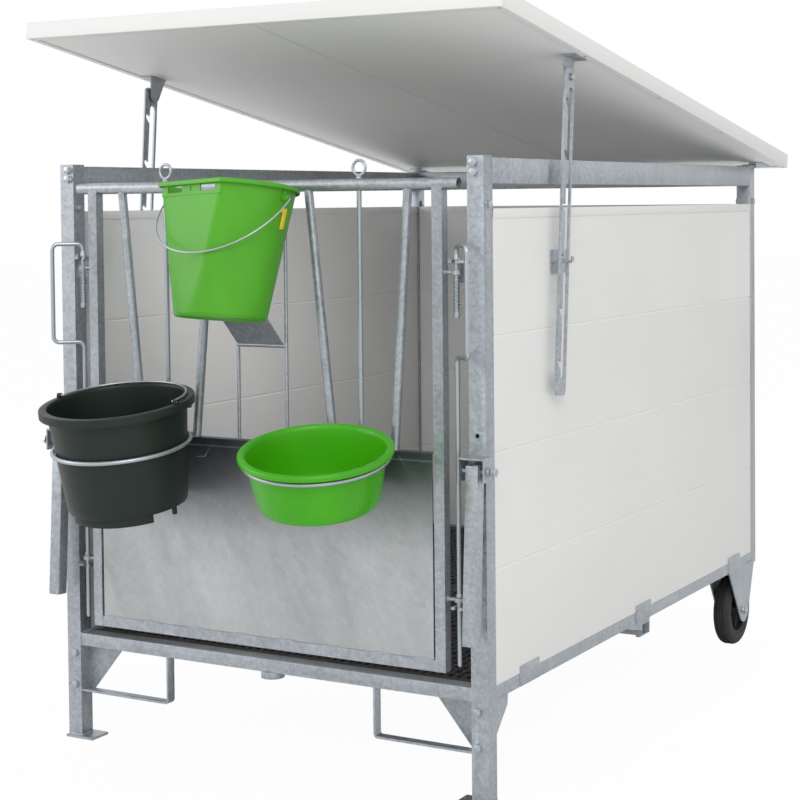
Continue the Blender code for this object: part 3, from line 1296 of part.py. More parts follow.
def dark_radius(depth):
    share = (depth - DARK_LIP) / (DARK_HEIGHT - DARK_LIP)
    return DARK_TOP_RADIUS + (DARK_BASE_RADIUS - DARK_TOP_RADIUS) * share


def dark_foot(base):
    """Ring under the base, in three pieces."""
    outer = DARK_BASE_RADIUS - DARK_FOOT_INSET
    inner = outer - DARK_FOOT_THICKNESS
    low, high = base - DARK_FOOT, base + OVERLAP
    ring = turned([(inner, low), (outer, low), (outer, high), (inner, high)], closed=True)
    reach = 1.2 * outer
    gaps = []
    for degrees in DARK_FOOT_GAPS:
        corners = [(0, 0)]
        for turn in (-DARK_FOOT_GAP_HALF, DARK_FOOT_GAP_HALF):
            angle = math.radians(degrees) + turn
            corners.append((reach * math.cos(angle), reach * math.sin(angle)))
        gaps.append(prism(corners, "Z", low - CUT_PAST, high + CUT_PAST))
    return combined([ring], gaps)


def dark_bucket():
    """Bucket with an open turned-down rim, two eyes on the rim for its bail, and a foot."""
    wall, base, rim = DARK_WALL, -DARK_HEIGHT, DARK_RIM_RADIUS
    profile = [(0, base), (DARK_BASE_RADIUS - 0.002, base), (DARK_BASE_RADIUS, base + 0.002),
               (dark_radius(DARK_RIM_SHEET), -DARK_RIM_SHEET),
               (rim - DARK_LIP_SHEET - 0.0005, -DARK_RIM_SHEET + 0.0005), (rim - DARK_LIP_SHEET, -DARK_LIP),
               (rim, -DARK_LIP), (rim, -DARK_LIP_ROUND), (rim - 0.002, 0), (dark_radius(0), 0),
               (dark_radius(0) - wall, -0.004), (DARK_BASE_RADIUS - wall, base + wall), (0, base + wall)]
    pieces, holes = [turned(profile), dark_foot(base)], []
    for side in (-1, 1):
        near, far = sorted(side * face for face in DARK_EYE)
        pieces.append(box((near, -DARK_EYE_WIDTH / 2, -OVERLAP), (far, DARK_EYE_WIDTH / 2, DARK_EYE_HEIGHT)))
        holes.append(cylinder((near - CUT_PAST, 0, DARK_EYE_RISE), (far + CUT_PAST, 0, DARK_EYE_RISE),
                              DARK_BAIL_WIRE + EAR_CLEARANCE, sides=12))
    return combined(pieces, holes)


def bowl_radius(depth):
    share = (depth - BOWL_WALL) / (BOWL_HEIGHT - BOWL_WALL)
    return BOWL_TOP_RADIUS + (BOWL_BASE_RADIUS - BOWL_TOP_RADIUS) * share


def feed_bowl():
    wall, rim, base = BOWL_WALL, BOWL_RIM_RADIUS, -BOWL_HEIGHT
    bend = 0.012
    low = bowl_radius(BOWL_HEIGHT - bend)
    profile = [(0, base), (BOWL_BASE_RADIUS - bend, base), (BOWL_BASE_RADIUS - 0.003, base + 0.004),
               (low, base + bend), (BOWL_TOP_RADIUS, -wall), (rim - wall, -wall), (rim - wall, -BOWL_SKIRT),
               (rim, -BOWL_SKIRT), (rim, -0.003), (rim - 0.003, 0), (BOWL_TOP_RADIUS, 0),
               (BOWL_TOP_RADIUS - wall, -0.005), (low - wall, base + bend + 0.002),
               (BOWL_BASE_RADIUS - bend - 0.002, base + wall), (0, base + wall)]
    return turned(profile)


def ring_holder(seat, depth, body_radius, ring_wire):
    """Wire ring round a bucket that hangs in this seat, hooked over the gate sheet's top edge."""
    taper = 0.0005
    ring_radius = body_radius + ring_wire + GAP + taper
    rim, tilt, roll = seat
    frame = Matrix.Translation(rim) @ Matrix.Rotation(roll, 4, "Y") @ Matrix.Rotation(tilt, 4, "X")
    ring = moved(wire(circle(ring_radius, 30, (0, 0, -depth)), ring_wire, cyclic=True), frame)
    pieces = [ring]
    over = SHEET_TOP + GAP + HOOK_WIRE
    behind = GATE_TUBE / 2 + GAP + HOOK_WIRE
    for side in (-1, 1):
        x = side * HOOK_SPREAD
        start = frame @ Vector((x, math.sqrt(ring_radius ** 2 - x ** 2), -depth))
        low = (start.x, -SHEET_FRONT - 0.010, over)
        line = rounded([start, low, (start.x, behind, over), (start.x, behind, over - HOOK_DROP)],
                       HOOK_WIRE + 0.0005)
        pieces.append(wire(line, HOOK_WIRE))
    return combined(pieces)


def add_buckets(root):
    lean = GREEN_LEAN
    base = Vector(GREEN_RIM) - Matrix.Rotation(-lean, 3, "X") @ Vector((0, 0, GREEN_HEIGHT))
    green = empty("green_bucket_seat", base, (-lean, 0, 0), root)
    add_part("green_bucket", green_bucket(), GREEN_PLASTIC, green)
    ear_height = GREEN_HEIGHT - GREEN_EAR_DROP
    ears_line = empty("green_bucket_ears", (0, 0, ear_height), (GREEN_BAIL_DROP, 0, 0), green)
    face = green_radius(ear_height) + EAR_REACH
    handle = bail(GREEN_BAIL_HALF, GREEN_BAIL_REACH, GREEN_BAIL_WIRE, face - BAIL_TAIL)
    add_part("green_bucket_bail", handle, GALVANISED, ears_line)
    add_part("bail_clip", bail_clip(), YELLOW_PLASTIC, green)

    dark = empty("dark_bucket_seat", DARK_RIM, (DARK_TILT, 0, 0), root)
    add_part("dark_bucket", dark_bucket(), DARK_PLASTIC, dark)
    eyes_line = empty("dark_bucket_eyes", (0, 0, DARK_EYE_RISE), parent=dark)
    tail = DARK_EYE[1] - OVERLAP
    handle = bail(DARK_BAIL_HALF, DARK_BAIL_HALF, DARK_BAIL_WIRE, tail)
    add_part("dark_bucket_bail", moved(handle, Matrix.Rotation(math.pi, 4, "Z")), GALVANISED, eyes_line)
    wall = dark_radius(DARK_RING_DEPTH - DARK_RING_WIRE)
    holder = ring_holder((DARK_RIM, DARK_TILT, 0), DARK_RING_DEPTH, wall, DARK_RING_WIRE)
    add_part("dark_bucket_ring", holder, GALVANISED, root)

    bowl = empty("feed_bowl_seat", BOWL_RIM, (BOWL_TILT, BOWL_ROLL, 0), root)
    add_part("feed_bowl", feed_bowl(), BOWL_PLASTIC, bowl)
    wall = bowl_radius(BOWL_RING_DEPTH - BOWL_RING_WIRE)
    holder = ring_holder((BOWL_RIM, BOWL_TILT, BOWL_ROLL), BOWL_RING_DEPTH, wall, BOWL_RING_WIRE)
    add_part("feed_bowl_ring", holder, GALVANISED, root)


def main():
    remove_everything()
    root = empty("calf_box", (0, -ORIGIN_Y, 0))
    add_frame(root)
    add_walls(root)
    add_floor(root)
    add_wheels(root)
    add_roof(root)
    add_gate(root)
    add_buckets(root)
    bpy.context.view_layer.update()


main()
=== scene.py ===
"""Looks of a single calf box on two rear wheels: finishes, moulded buckets, welds and fixings.

Metres, +Z up, the feeding gate looks towards -Y. Shapes are drawn with Y measured from the front
faces of the front posts and are moved to the frame's own origin when they become pieces.
"""
import json
import math
import random

import bmesh
import bpy
from bpy.props import FloatProperty, FloatVectorProperty, IntProperty, PointerProperty
from mathutils import Matrix, Vector


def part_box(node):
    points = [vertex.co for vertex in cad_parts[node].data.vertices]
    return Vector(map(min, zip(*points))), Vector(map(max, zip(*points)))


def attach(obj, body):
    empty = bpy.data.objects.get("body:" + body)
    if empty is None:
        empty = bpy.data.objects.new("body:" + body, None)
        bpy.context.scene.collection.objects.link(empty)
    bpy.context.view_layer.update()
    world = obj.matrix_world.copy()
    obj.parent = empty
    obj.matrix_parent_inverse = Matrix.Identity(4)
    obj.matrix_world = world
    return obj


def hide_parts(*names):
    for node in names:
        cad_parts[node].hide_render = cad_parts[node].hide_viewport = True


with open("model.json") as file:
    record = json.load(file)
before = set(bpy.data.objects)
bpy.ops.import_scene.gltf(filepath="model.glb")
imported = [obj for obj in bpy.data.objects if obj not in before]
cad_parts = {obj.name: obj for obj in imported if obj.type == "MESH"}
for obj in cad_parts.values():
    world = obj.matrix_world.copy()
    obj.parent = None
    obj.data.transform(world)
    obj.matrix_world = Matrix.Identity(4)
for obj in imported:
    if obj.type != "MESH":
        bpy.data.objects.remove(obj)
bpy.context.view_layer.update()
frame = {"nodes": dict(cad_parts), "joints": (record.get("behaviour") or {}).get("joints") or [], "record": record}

bl_info = {
    "name": "Calf Box Looks",
    "version": (1, 0, 0),
    "blender": (4, 5, 0),
    "location": "View3D > Sidebar > Calf Box",
    "description": "Dresses a calf box with zinc, plastic and rubber finishes and its moulded pieces",
    "category": "Object",
}

JOINTS = {joint["name"]: joint for joint in frame["joints"]}
SIDES = (("left", -1), ("right", 1))


def joint_place(name):
    """Where a joint stands, with Y from the front of the posts."""
    return Vector(JOINTS[name]["pos_m"]) - Vector((0, POST_FRONT, 0))


POST_FRONT = JOINTS["gate_swing"]["pos_m"][1]

# Places shared by several pieces
POST_OUT = 0.578
POST_IN = 0.538
FRAME_LENGTH = 1.717
RAIL_LOW = 0.227
RAIL_TOP = 0.257
GATE_HALF = 0.483
GATE_TUBE = 0.025
GATE_LOW = 0.285
TOP_TUBE_Z = 1.335
SHEET_TOP = 0.757
BAR_ENDS = ((-0.389, -0.335), (-0.124, -0.179), (0.137, 0.198), (0.394, 0.355))
RODS = {"left": -0.260, "right": 0.270}
THIN_RODS = (-0.058, 0.074)
LATCH_X = 0.511
LATCH_FORKS = (1.168, 0.427)
GATE_STUDS = (1.146, 0.444)
FRAME_BOLT_X = 0.554
FRAME_BOLT_HEIGHTS = (1.380, 1.3585, 0.207, 0.130)
CORNER_BOLT_Z = 1.290
HANDLE_PIVOT = (0.609, -0.026, 0.728)
WHEEL_X = 0.5435
AXLE_NUTS = ((0.5825, 1), (0.5035, -1))
GREEN_RIM = (0.040, -0.165, 1.335)
GREEN_TILT = -7.5
GREEN_BAIL_TILT = 46.5
DARK_RIM = (-0.2472, -0.2047, 0.8582)
DARK_TILT = 8.67
BOWL_RIM = (0.2764, -0.1953, 0.7786)
BOWL_TILT = 11.7
BOWL_ROLL = 4
ROOF_TILT = math.radians(9.5)
ROOF_HALF = 0.6445
ROOF_FRONT = -1.797
ROOF_REAR = 0.091
ROOF_UNDER = 0.0101
ROOF_THICK = 0.040
STRUT_BOLT = (0.6070, -1.3524, ROOF_UNDER - 0.0473)

# Light and camera
WHITE = (1, 1, 1, 1)
SKY_STRENGTH = 0.72
FLOOR_GLOW_SHARE = 0.97
LAMPS = (
    ("key", (3.2, -4.6, 4.6), 3.4, 126),
    ("fill", (-4.6, -3.6, 3.0), 3.6, 70),
    ("back", (0.5, 5.2, 4.2), 3.6, 60),
)
LAMP_TARGET = (0, 0, 0.8)
INSIDE_LAMP = ("inside", (0.30, -0.50, 1.16), (-0.9, 0.85, -0.35), 0.5, 1.25)
INSIDE_SPREAD = 100
PICTURE_WIDTH = 800
FOCAL_PIXELS = 1787.7
PICTURE_CENTRE = (431.19, 263.74)
CAMERA_PLACE = (2.3248, -3.3401, 1.2975)
CAMERA_YAW, CAMERA_PITCH, CAMERA_ROLL = 0.5116, 0.0349, -0.0093


# Settings


class CalfBoxColours(bpy.types.PropertyGroup):
    zinc: FloatVectorProperty(name="Zinc", description="Colour of the galvanised tubes",
                              subtype="COLOR", default=(0.43, 0.465, 0.50))
    sheet: FloatVectorProperty(name="Zinc Sheet", description="Colour of the gate's sheet",
                               subtype="COLOR", default=(0.49, 0.51, 0.52))
    plank: FloatVectorProperty(name="Planks", description="Colour of the plastic planks",
                               subtype="COLOR", default=(0.765, 0.765, 0.755))
    roof: FloatVectorProperty(name="Roof", description="Colour of the roof's skin",
                              subtype="COLOR", default=(0.78, 0.78, 0.77))
    green: FloatVectorProperty(name="Bucket Green", description="Colour of the drinking bucket",
                               subtype="COLOR", default=(0.082, 0.375, 0.018))
    bowl: FloatVectorProperty(name="Bowl Green", description="Colour of the feed bowl",
                              subtype="COLOR", default=(0.056, 0.40, 0.002))
    dark: FloatVectorProperty(name="Bucket Dark", description="Colour of the feed bucket",
                              subtype="COLOR", default=(0.009, 0.018, 0.014))
    clip: FloatVectorProperty(name="Clip", description="Colour of the small clip",
                              subtype="COLOR", default=(0.80, 0.60, 0.03))
    rubber: FloatVectorProperty(name="Rubber", description="Colour of the tyres",
                                subtype="COLOR", default=(0.016, 0.015, 0.018))
    grid: FloatVectorProperty(name="Floor Grid", description="Colour of the floor's plastic",
                              subtype="COLOR", default=(0.045, 0.038, 0.045))


class CalfBoxSizes(bpy.types.PropertyGroup):
    weld_radius: FloatProperty(name="Weld", description="Half the width of a weld bead",
                               unit="LENGTH", default=0.0024)
    tube_edge: FloatProperty(name="Tube Edge", description="Rounding of a square tube's edges",
                             unit="LENGTH", default=0.003)
    slot_pitch_x: FloatProperty(name="Slot Pitch", description="Distance between the floor's slots",
                                unit="LENGTH", default=0.0215)
    slot_pitch_y: FloatProperty(name="Slot Length", description="Slot length with its bar",
                                unit="LENGTH", default=0.034)
    turns: IntProperty(name="Steps Round", description="Steps round a moulded bucket", default=96)


# Finishes


class Wire:
    """A node's socket that takes part in arithmetic; each operation adds a Math node."""

    def __init__(self, nodes, socket):
        self.nodes = nodes
        self.socket = socket

    def _math(self, operation, first, second):
        return self.nodes.node("Math", {"operation": operation}, {0: first, 1: second})

    def __add__(self, other):
        return self._math("ADD", self, other)

    __radd__ = __add__

    def __mul__(self, other):
        return self._math("MULTIPLY", self, other)

    __rmul__ = __mul__


class Nodes:
    """A node tree, whose nodes are added by type."""

    def __init__(self, tree):
        self.tree = tree

    def connect(self, socket, value):
        if isinstance(value, Wire):
            self.tree.links.new(value.socket, socket)
        else:
            socket.default_value = value

    def node(self, kind, settings=None, inputs=None, output=0):
        node = self.tree.nodes.new("ShaderNode" + kind)
        for key, value in (settings or {}).items():
            setattr(node, key, value)
        for key, value in (inputs or {}).items():
            self.connect(node.inputs[key], value)
        return Wire(self, node.outputs[output])


class Finish(Nodes):
    """One material with its surface shader."""

    def __init__(self, name, **constants):
        self.material = bpy.data.materials.new(name)
        self.material.use_nodes = True
        super().__init__(self.material.node_tree)
        self.surface = self.tree.nodes["Principled BSDF"]
        for socket, value in constants.items():
            self.set(socket.replace("_", " "), value)
        self.place = self.node("TexCoord", output="Object")

    def set(self, name, value):
        self.connect(self.surface.inputs[name], value)

    def stretched(self, x=1, y=1, z=1, turn=(0, 0, 0)):
        """The place on the piece, stretched or turned for a pattern with a direction."""
        inputs = {"Vector": self.place, "Scale": (1 / x, 1 / y, 1 / z), "Rotation": turn}
        return self.node("Mapping", {"vector_type": "TEXTURE"}, inputs)

    def noise(self, scale, detail=3, rough=0.5, place=None, bend=0.0):
        inputs = {"Vector": place or self.place, "Scale": scale, "Detail": detail, "Roughness": rough,
                  "Distortion": bend}
        return self.node("TexNoise", None, inputs)

    def cells(self, scale, place=None):
        """A grey value of its own for each crystal-like cell."""
        colour = self.node("TexVoronoi", None, {"Vector": place or self.place, "Scale": scale}, "Color")
        return self.node("SeparateColor", None, {0: colour})

    def spread(self, value, low, high, to_low, to_high):
        inputs = {"Value": value, "From Min": low, "From Max": high, "To Min": to_low, "To Max": to_high}
        return self.node("MapRange", None, inputs)

    def blend(self, factor, first, second):
        inputs = {0: factor, 6: first, 7: second}
        return self.node("Mix", {"data_type": "RGBA"}, inputs, 2)

    def bump(self, height, distance, strength=1.0, below=None):
        inputs = {"Height": height, "Distance": distance, "Strength": strength}
        if below is not None:
            inputs["Normal"] = below
        return self.node("Bump", None, inputs)

    def up(self):
        """Height above the ground."""
        return self.node("SeparateXYZ", None, {0: self.place}, "Z")


def tint(colour, factor):
    return (*(min(1, value * factor) for value in colour), 1)


def zinc_finish(name, colour, size=0.007, contrast=0.17, roughness=0.40, metallic=0.75):
    """Hot-dip galvanised steel: faint crystals, cloudy patches and fine drips along Z."""
    finish = Finish(name, Metallic=metallic)
    crystals = finish.cells(1 / size)
    clouds = finish.noise(9, 4, 0.6)
    drips = finish.noise(38, 3, 0.6, finish.stretched(1, 1, 0.12))
    grain = finish.noise(900, 2, 0.6)
    shade = crystals * 0.30 + clouds * 0.45 + drips * 0.25
    finish.set("Base Color", finish.blend(finish.spread(shade, 0.25, 0.75, 0, 1),
                                          tint(colour, 1 - 1.6 * contrast), tint(colour, 1 + contrast)))
    finish.set("Roughness", finish.spread(crystals * 0.4 + clouds * 0.6, 0.2, 0.8,
                                          roughness - 0.09, roughness + 0.13))
    low = finish.bump(clouds * 0.7 + drips * 0.3, 0.0012, 0.35)
    finish.set("Normal", finish.bump(grain, 0.00006, 0.5, low))
    return finish.material


def sheet_finish(name, colour):
    """Smooth zinc sheet with soft diagonal brush marks and scuffs, and its upper part darkened by a painted shadow
    and reflection.
    """
    finish = Finish(name, Metallic=0.72)
    turned = finish.stretched(1.9, 1, 0.55, (0, math.radians(-24), 0))
    sweep = finish.noise(5.0, 4, 0.55, turned, 0.5)
    crystals = finish.cells(75, finish.stretched(1, 1, 0.8))
    scratches = finish.noise(160, 2, 0.7, finish.stretched(1, 1, 0.10, (0, math.radians(-60), 0)))
    height = finish.up()
    dust = finish.spread(height, 0.31, 0.42, 0.35, 0)
    shade = sweep * 0.72 + crystals * 0.08 + scratches * 0.20
    clean = finish.blend(finish.spread(shade, 0.33, 0.68, 0, 1), tint(colour, 0.80), tint(colour, 1.12))
    # Painted shadow and reflection of the dark surroundings: the upper part of the sheet is blended towards a
    # bluish black.
    shadow = finish.spread(height + sweep * 0.10, 0.58, 0.81, 0, 0.90)
    painted_shadow_top = finish.blend(shadow, clean, (0.035, 0.042, 0.062, 1))
    # Painted highlight: a lighter line along a fold just below the top.
    fold_highlight = finish.spread(height, 0.7365, 0.7385, 0, 0.60) * finish.spread(height, 0.7395, 0.7415, 1, 0)
    with_fold_highlight = finish.blend(fold_highlight, painted_shadow_top, tint(colour, 0.85))
    finish.set("Base Color", finish.blend(dust * sweep, with_fold_highlight, (0.42, 0.41, 0.38, 1)))
    finish.set("Roughness", finish.spread(shade, 0.3, 0.7, 0.47, 0.30))
    low = finish.bump(sweep, 0.004, 0.25)
    finish.set("Normal", finish.bump(crystals * 0.15 + scratches * 0.85, 0.00006, 0.5, low))
    return finish.material


def plank_finish(name, colour):
    """Extruded hollow planks: fine draw lines along them, a breath of dust low down."""
    finish = Finish(name, Roughness=0.42, Specular_IOR_Level=0.45)
    clouds = finish.noise(3.2, 4, 0.55)
    lines = finish.noise(220, 2, 0.5, finish.stretched(0.02, 0.02, 1))
    specks = finish.noise(700, 2, 0.7)
    dust = finish.spread(finish.up(), RAIL_TOP, 0.50, 0.16, 0) * finish.spread(clouds, 0.35, 0.7, 0.2, 1)
    base = finish.blend(finish.spread(clouds * 0.7 + lines * 0.3, 0.3, 0.7, 0, 1),
                        tint(colour, 0.965), tint(colour, 1.025))
    finish.set("Base Color", finish.blend(dust, base, (0.52, 0.50, 0.46, 1)))
    finish.set("Roughness", finish.spread(clouds * 0.6 + specks * 0.4, 0.3, 0.7, 0.36, 0.50))
    low = finish.bump(lines, 0.0004, 0.35)
    finish.set("Normal", finish.bump(specks, 0.00005, 0.6, low))
    return finish.material


def roof_finish(name, colour):
    """Smooth gel-coated panel: a low sheen, with very long soft waves and faint handling marks."""
    finish = Finish(name, Specular_IOR_Level=0.32)
    waves = finish.noise(1.3, 1, 0.3)
    marks = finish.noise(34, 4, 0.6)
    finish.set("Base Color", finish.blend(finish.spread(waves * 0.8 + marks * 0.2, 0.3, 0.7, 0, 1),
                                          tint(colour, 0.985), tint(colour, 1.01)))
    finish.set("Roughness", finish.spread(marks, 0.35, 0.7, 0.46, 0.54))
    return finish.material


def moulded_finish(name, colour, roughness=0.30, wear=0.10, dust=(0.30, 0.31, 0.27)):
    """Injection-moulded plastic: flow marks, fine scratches and a little dust."""
    finish = Finish(name, Specular_IOR_Level=0.36)
    flow = finish.noise(7, 3, 0.5, finish.stretched(1, 1, 0.35))
    scratches = finish.noise(240, 3, 0.75, finish.stretched(1, 1, 0.18, (0.4, 0.2, 0)))
    grain = finish.noise(1400, 2, 0.6)
    base = finish.blend(finish.spread(flow, 0.3, 0.7, 0, 1), tint(colour, 0.88), tint(colour, 1.12))
    marked = finish.spread(scratches, 0.62, 0.74, 0, wear)
    finish.set("Base Color", finish.blend(marked, base, (*dust, 1)))
    finish.set("Roughness", finish.spread(flow * 0.5 + scratches * 0.5, 0.3, 0.7, roughness - 0.05,
                                          roughness + 0.12))
    low = finish.bump(flow, 0.0015, 0.3)
    finish.set("Normal", finish.bump(grain + scratches * 0.5, 0.00004, 0.6, low))
    return finish.material


def rubber_finish(name, colour):
    """Solid rubber tyre with a scuffed, dusty tread."""
    finish = Finish(name)
    scuffs = finish.noise(55, 5, 0.7)
    pores = finish.noise(800, 2, 0.6)
    finish.set("Base Color", finish.blend(finish.spread(scuffs, 0.45, 0.75, 0, 0.5), tint(colour, 1),
                                          (0.075, 0.072, 0.068, 1)))
    finish.set("Roughness", finish.spread(scuffs, 0.3, 0.7, 0.62, 0.86))
    finish.set("Normal", finish.bump(pores + scuffs * 0.6, 0.00035, 0.6))
    return finish.material


def grid_finish(name, colour):
    """Matt plastic floor grid, greyed where hooves and water have been."""
    finish = Finish(name)
    stains = finish.noise(6, 5, 0.65)
    grit = finish.noise(420, 3, 0.7)
    finish.set("Base Color", finish.blend(finish.spread(stains * 0.6 + grit * 0.4, 0.42, 0.72, 0, 0.7),
                                          tint(colour, 1), (0.13, 0.12, 0.115, 1)))
    finish.set("Roughness", finish.spread(stains, 0.3, 0.7, 0.48, 0.78))
    finish.set("Normal", finish.bump(grit, 0.0003, 0.5))
    return finish.material


FINISHES = {}


def make_finishes(colours):
    FINISHES.update({
        "galvanised_steel": zinc_finish("zinc_tube", colours.zinc),
        "bright_zinc": zinc_finish("zinc_wire", tint(colours.zinc, 1.02)[:3], 0.004, 0.03, 0.34, 0.80),
        "fixing_zinc": zinc_finish("zinc_fixing", tint(colours.zinc, 1.12)[:3], 0.003, 0.08, 0.30, 0.85),
        "weld_zinc": zinc_finish("zinc_weld", tint(colours.zinc, 1.2)[:3], 0.003, 0.14, 0.42, 0.7),
        "galvanised_sheet": sheet_finish("zinc_sheet", colours.sheet),
        "white_plank": plank_finish("plank_plastic", colours.plank),
        "roof_skin": roof_finish("roof_coat", colours.roof),
        "floor_grid": grid_finish("floor_plastic", colours.grid),
        "tyre_rubber": rubber_finish("tyre_rubber", colours.rubber),
        "wheel_rim": moulded_finish("rim_plastic", (0.020, 0.019, 0.026), 0.50, 0.0),
        "green_bucket": moulded_finish("bucket_green", colours.green, 0.30, 0.03, (0.25, 0.50, 0.15)),
        "green_bowl": moulded_finish("bowl_green", colours.bowl, 0.28, 0.03, (0.20, 0.45, 0.10)),
        "dark_bucket": moulded_finish("bucket_dark", colours.dark, 0.40, 0.15, (0.06, 0.075, 0.07)),
        "yellow_clip": moulded_finish("clip_yellow", colours.clip, 0.36, 0.1, (0.8, 0.7, 0.3)),
    })


# Shapes


def cleaned(shape):
    bmesh.ops.remove_doubles(shape, verts=shape.verts, dist=0.000001)
    bmesh.ops.recalc_face_normals(shape, faces=shape.faces)
    return shape


def moved(shape, matrix):
    bmesh.ops.transform(shape, matrix=matrix, verts=shape.verts)
    if matrix.is_negative:
        bmesh.ops.reverse_faces(shape, faces=shape.faces)
    return shape


def on_side(shape, side):
    """Shapes are drawn for the right side; the left one is the mirror image."""
    return moved(shape, Matrix.Scale(-1, 4, (1, 0, 0))) if side == "left" else shape


def joined(shapes):
    """Put several shapes into one."""
    whole = bmesh.new()
    for shape in shapes:
        mesh = bpy.data.meshes.new("shape")
        shape.to_mesh(mesh)
        shape.free()
        whole.from_mesh(mesh)
        bpy.data.meshes.remove(mesh)
    return whole


def softened(shape, width, segments=2, angle=35):
    """Round the sharp edges of a shape."""
    sharp = [edge for edge in shape.edges
             if len(edge.link_faces) == 2 and edge.calc_face_angle(0) > math.radians(angle)]
    bmesh.ops.bevel(shape, geom=sharp, offset=width, offset_type="OFFSET", segments=segments,
                    profile=0.5, affect="EDGES", material=-1, clamp_overlap=True)
    return shape


def block(low, high, edge=0.0):
    shape = bmesh.new()
    low, high = Vector(low), Vector(high)
    place = Matrix.Translation((low + high) / 2) @ Matrix.Diagonal((high - low).to_4d())
    bmesh.ops.create_cube(shape, size=1, matrix=place)
    return softened(shape, edge, 3) if edge else shape


def barrel(start, end, radius, end_radius=None, sides=24, edge=0.0):
    shape = bmesh.new()
    start, end = Vector(start), Vector(end)
    turn = (end - start).to_track_quat("Z", "Y").to_matrix().to_4x4()
    bmesh.ops.create_cone(shape, cap_ends=True, segments=sides, radius1=radius,
                          radius2=radius if end_radius is None else end_radius,
                          depth=(end - start).length, matrix=Matrix.Translation((start + end) / 2) @ turn)
    return softened(shape, edge, 2, 50) if edge else shape


def slab(outline, axis, low, high, edge=0.0):
    """Extrude an outline of (Y, Z), (X, Z) or (X, Y) points along an axis."""
    shape = bmesh.new()
    index = "XYZ".index(axis)
    corners = []
    for pair in outline:
        point = list(pair)
        point.insert(index, low)
        corners.append(shape.verts.new(point))
    face = shape.faces.new(corners)
    grown = bmesh.ops.extrude_face_region(shape, geom=[face])
    move = Vector((0, 0, 0))
    move[index] = high - low
    raised = [item for item in grown["geom"] if isinstance(item, bmesh.types.BMVert)]
    bmesh.ops.translate(shape, vec=move, verts=raised)
    cleaned(shape)
    return softened(shape, edge, 2) if edge else shape


def lathe(profile, steps, closed=False):
    """Spin a profile of (radius, height) about Z."""
    shape = bmesh.new()
    points = [shape.verts.new((radius, 0, height)) for radius, height in profile]
    pairs = list(zip(points, points[1:]))
    if closed:
        pairs.append((points[-1], points[0]))
    edges = [shape.edges.new(pair) for pair in pairs]
    bmesh.ops.spin(shape, geom=points + edges, cent=(0, 0, 0), axis=(0, 0, 1), angle=math.tau,
                   steps=steps, use_merge=True)
    bmesh.ops.remove_doubles(shape, verts=shape.verts, dist=0.00001)
    bmesh.ops.recalc_face_normals(shape, faces=shape.faces)
    return shape


def bar(points, radius, sides=14, ring=False):
    """A round bar along a line: a circle is extruded from point to point."""
    points = [Vector(point) for point in points]
    count = len(points)
    shape = bmesh.new()
    places = []
    up = None
    for index, point in enumerate(points):
        before = points[index - 1] if index or ring else point
        after = points[(index + 1) % count] if index < count - 1 or ring else point
        along = (after - before).normalized()
        if up is None:
            up = along.orthogonal().normalized()
        else:
            up = (up - along * up.dot(along)).normalized()
        across = along.cross(up)
        arrive = (point - before).normalized() if (point - before).length else along
        stretch = 1 / max(0.5, math.sqrt((1 + max(-0.5, arrive.dot(along) * 2 - 1)) / 2))
        frame_axes = Matrix((up * stretch, across * stretch, along)).transposed().to_4x4()
        places.append(Matrix.Translation(point) @ frame_axes)
    made = bmesh.ops.create_circle(shape, cap_ends=False, segments=sides, radius=radius, matrix=places[0])
    first = made["verts"]
    edges = list({edge for vert in first for edge in vert.link_edges})
    start_edges = edges
    for before, after in zip(places, places[1:]):
        grown = bmesh.ops.extrude_edge_only(shape, edges=edges)
        verts = [item for item in grown["geom"] if isinstance(item, bmesh.types.BMVert)]
        edges = [item for item in grown["geom"] if isinstance(item, bmesh.types.BMEdge)]
        bmesh.ops.transform(shape, matrix=after @ before.inverted(), verts=verts)
    if ring:
        bmesh.ops.bridge_loops(shape, edges=start_edges + edges)
    else:
        bmesh.ops.holes_fill(shape, edges=start_edges + edges, sides=0)
    bmesh.ops.recalc_face_normals(shape, faces=shape.faces)
    return shape


def rounded(points, radius, step=math.radians(12)):
    """Replace each inner corner of a line by an arc."""
    points = [Vector(point) for point in points]
    line = [points[0]]
    for before, corner, after in zip(points, points[1:], points[2:]):
        arrive = (before - corner).normalized()
        leave = (after - corner).normalized()
        turn = math.pi - arrive.angle(leave)
        back = radius * math.tan(turn / 2)
        centre = corner + (arrive + leave).normalized() * radius / math.cos(turn / 2)
        start = corner + arrive * back - centre
        axis = start.cross(corner + leave * back - centre).normalized()
        pieces = max(2, math.ceil(turn / step))
        for count in range(pieces + 1):
            line.append(centre + Matrix.Rotation(turn * count / pieces, 3, axis) @ start)
    line.append(points[-1])
    return line


def circle(radius, count, centre=(0, 0, 0), upright=False):
    points = []
    for step in range(count):
        angle = math.tau * step / count
        across, along = radius * math.cos(angle), radius * math.sin(angle)
        points.append(Vector(centre) + Vector((across, 0, along) if upright else (across, along, 0)))
    return points


def weld(start, end, radius, seed=1, spacing=1.05):
    """A bead of small overlapping scales from one point to another."""
    chance = random.Random(seed)
    start, end = Vector(start), Vector(end)
    count = max(2, round((end - start).length / (radius * spacing)))
    along = (end - start).to_track_quat("X", "Z").to_matrix().to_4x4()
    shape = bmesh.new()
    for step in range(count + 1):
        size = radius * chance.uniform(0.85, 1.15)
        place = start.lerp(end, step / count) + Vector([chance.uniform(-0.15, 0.15) * radius] * 3)
        stretch = Matrix.Diagonal((0.95, 1.0, 0.7, 1))
        bmesh.ops.create_icosphere(shape, subdivisions=1, radius=size,
                                   matrix=Matrix.Translation(place) @ along @ stretch)
    return shape


def weld_ring(centre, across, along, reach, count, radius, seeds):
    """Beads end to end round a centre, in the plane of two directions."""
    centre, across, along = Vector(centre), Vector(across), Vector(along)
    corners = []
    for step in range(count + 1):
        angle = math.tau * step / count
        corners.append(centre + across * (reach * math.cos(angle)) + along * (reach * math.sin(angle)))
    return [weld(start, end, radius, seed) for start, end, seed in zip(corners, corners[1:], seeds)]


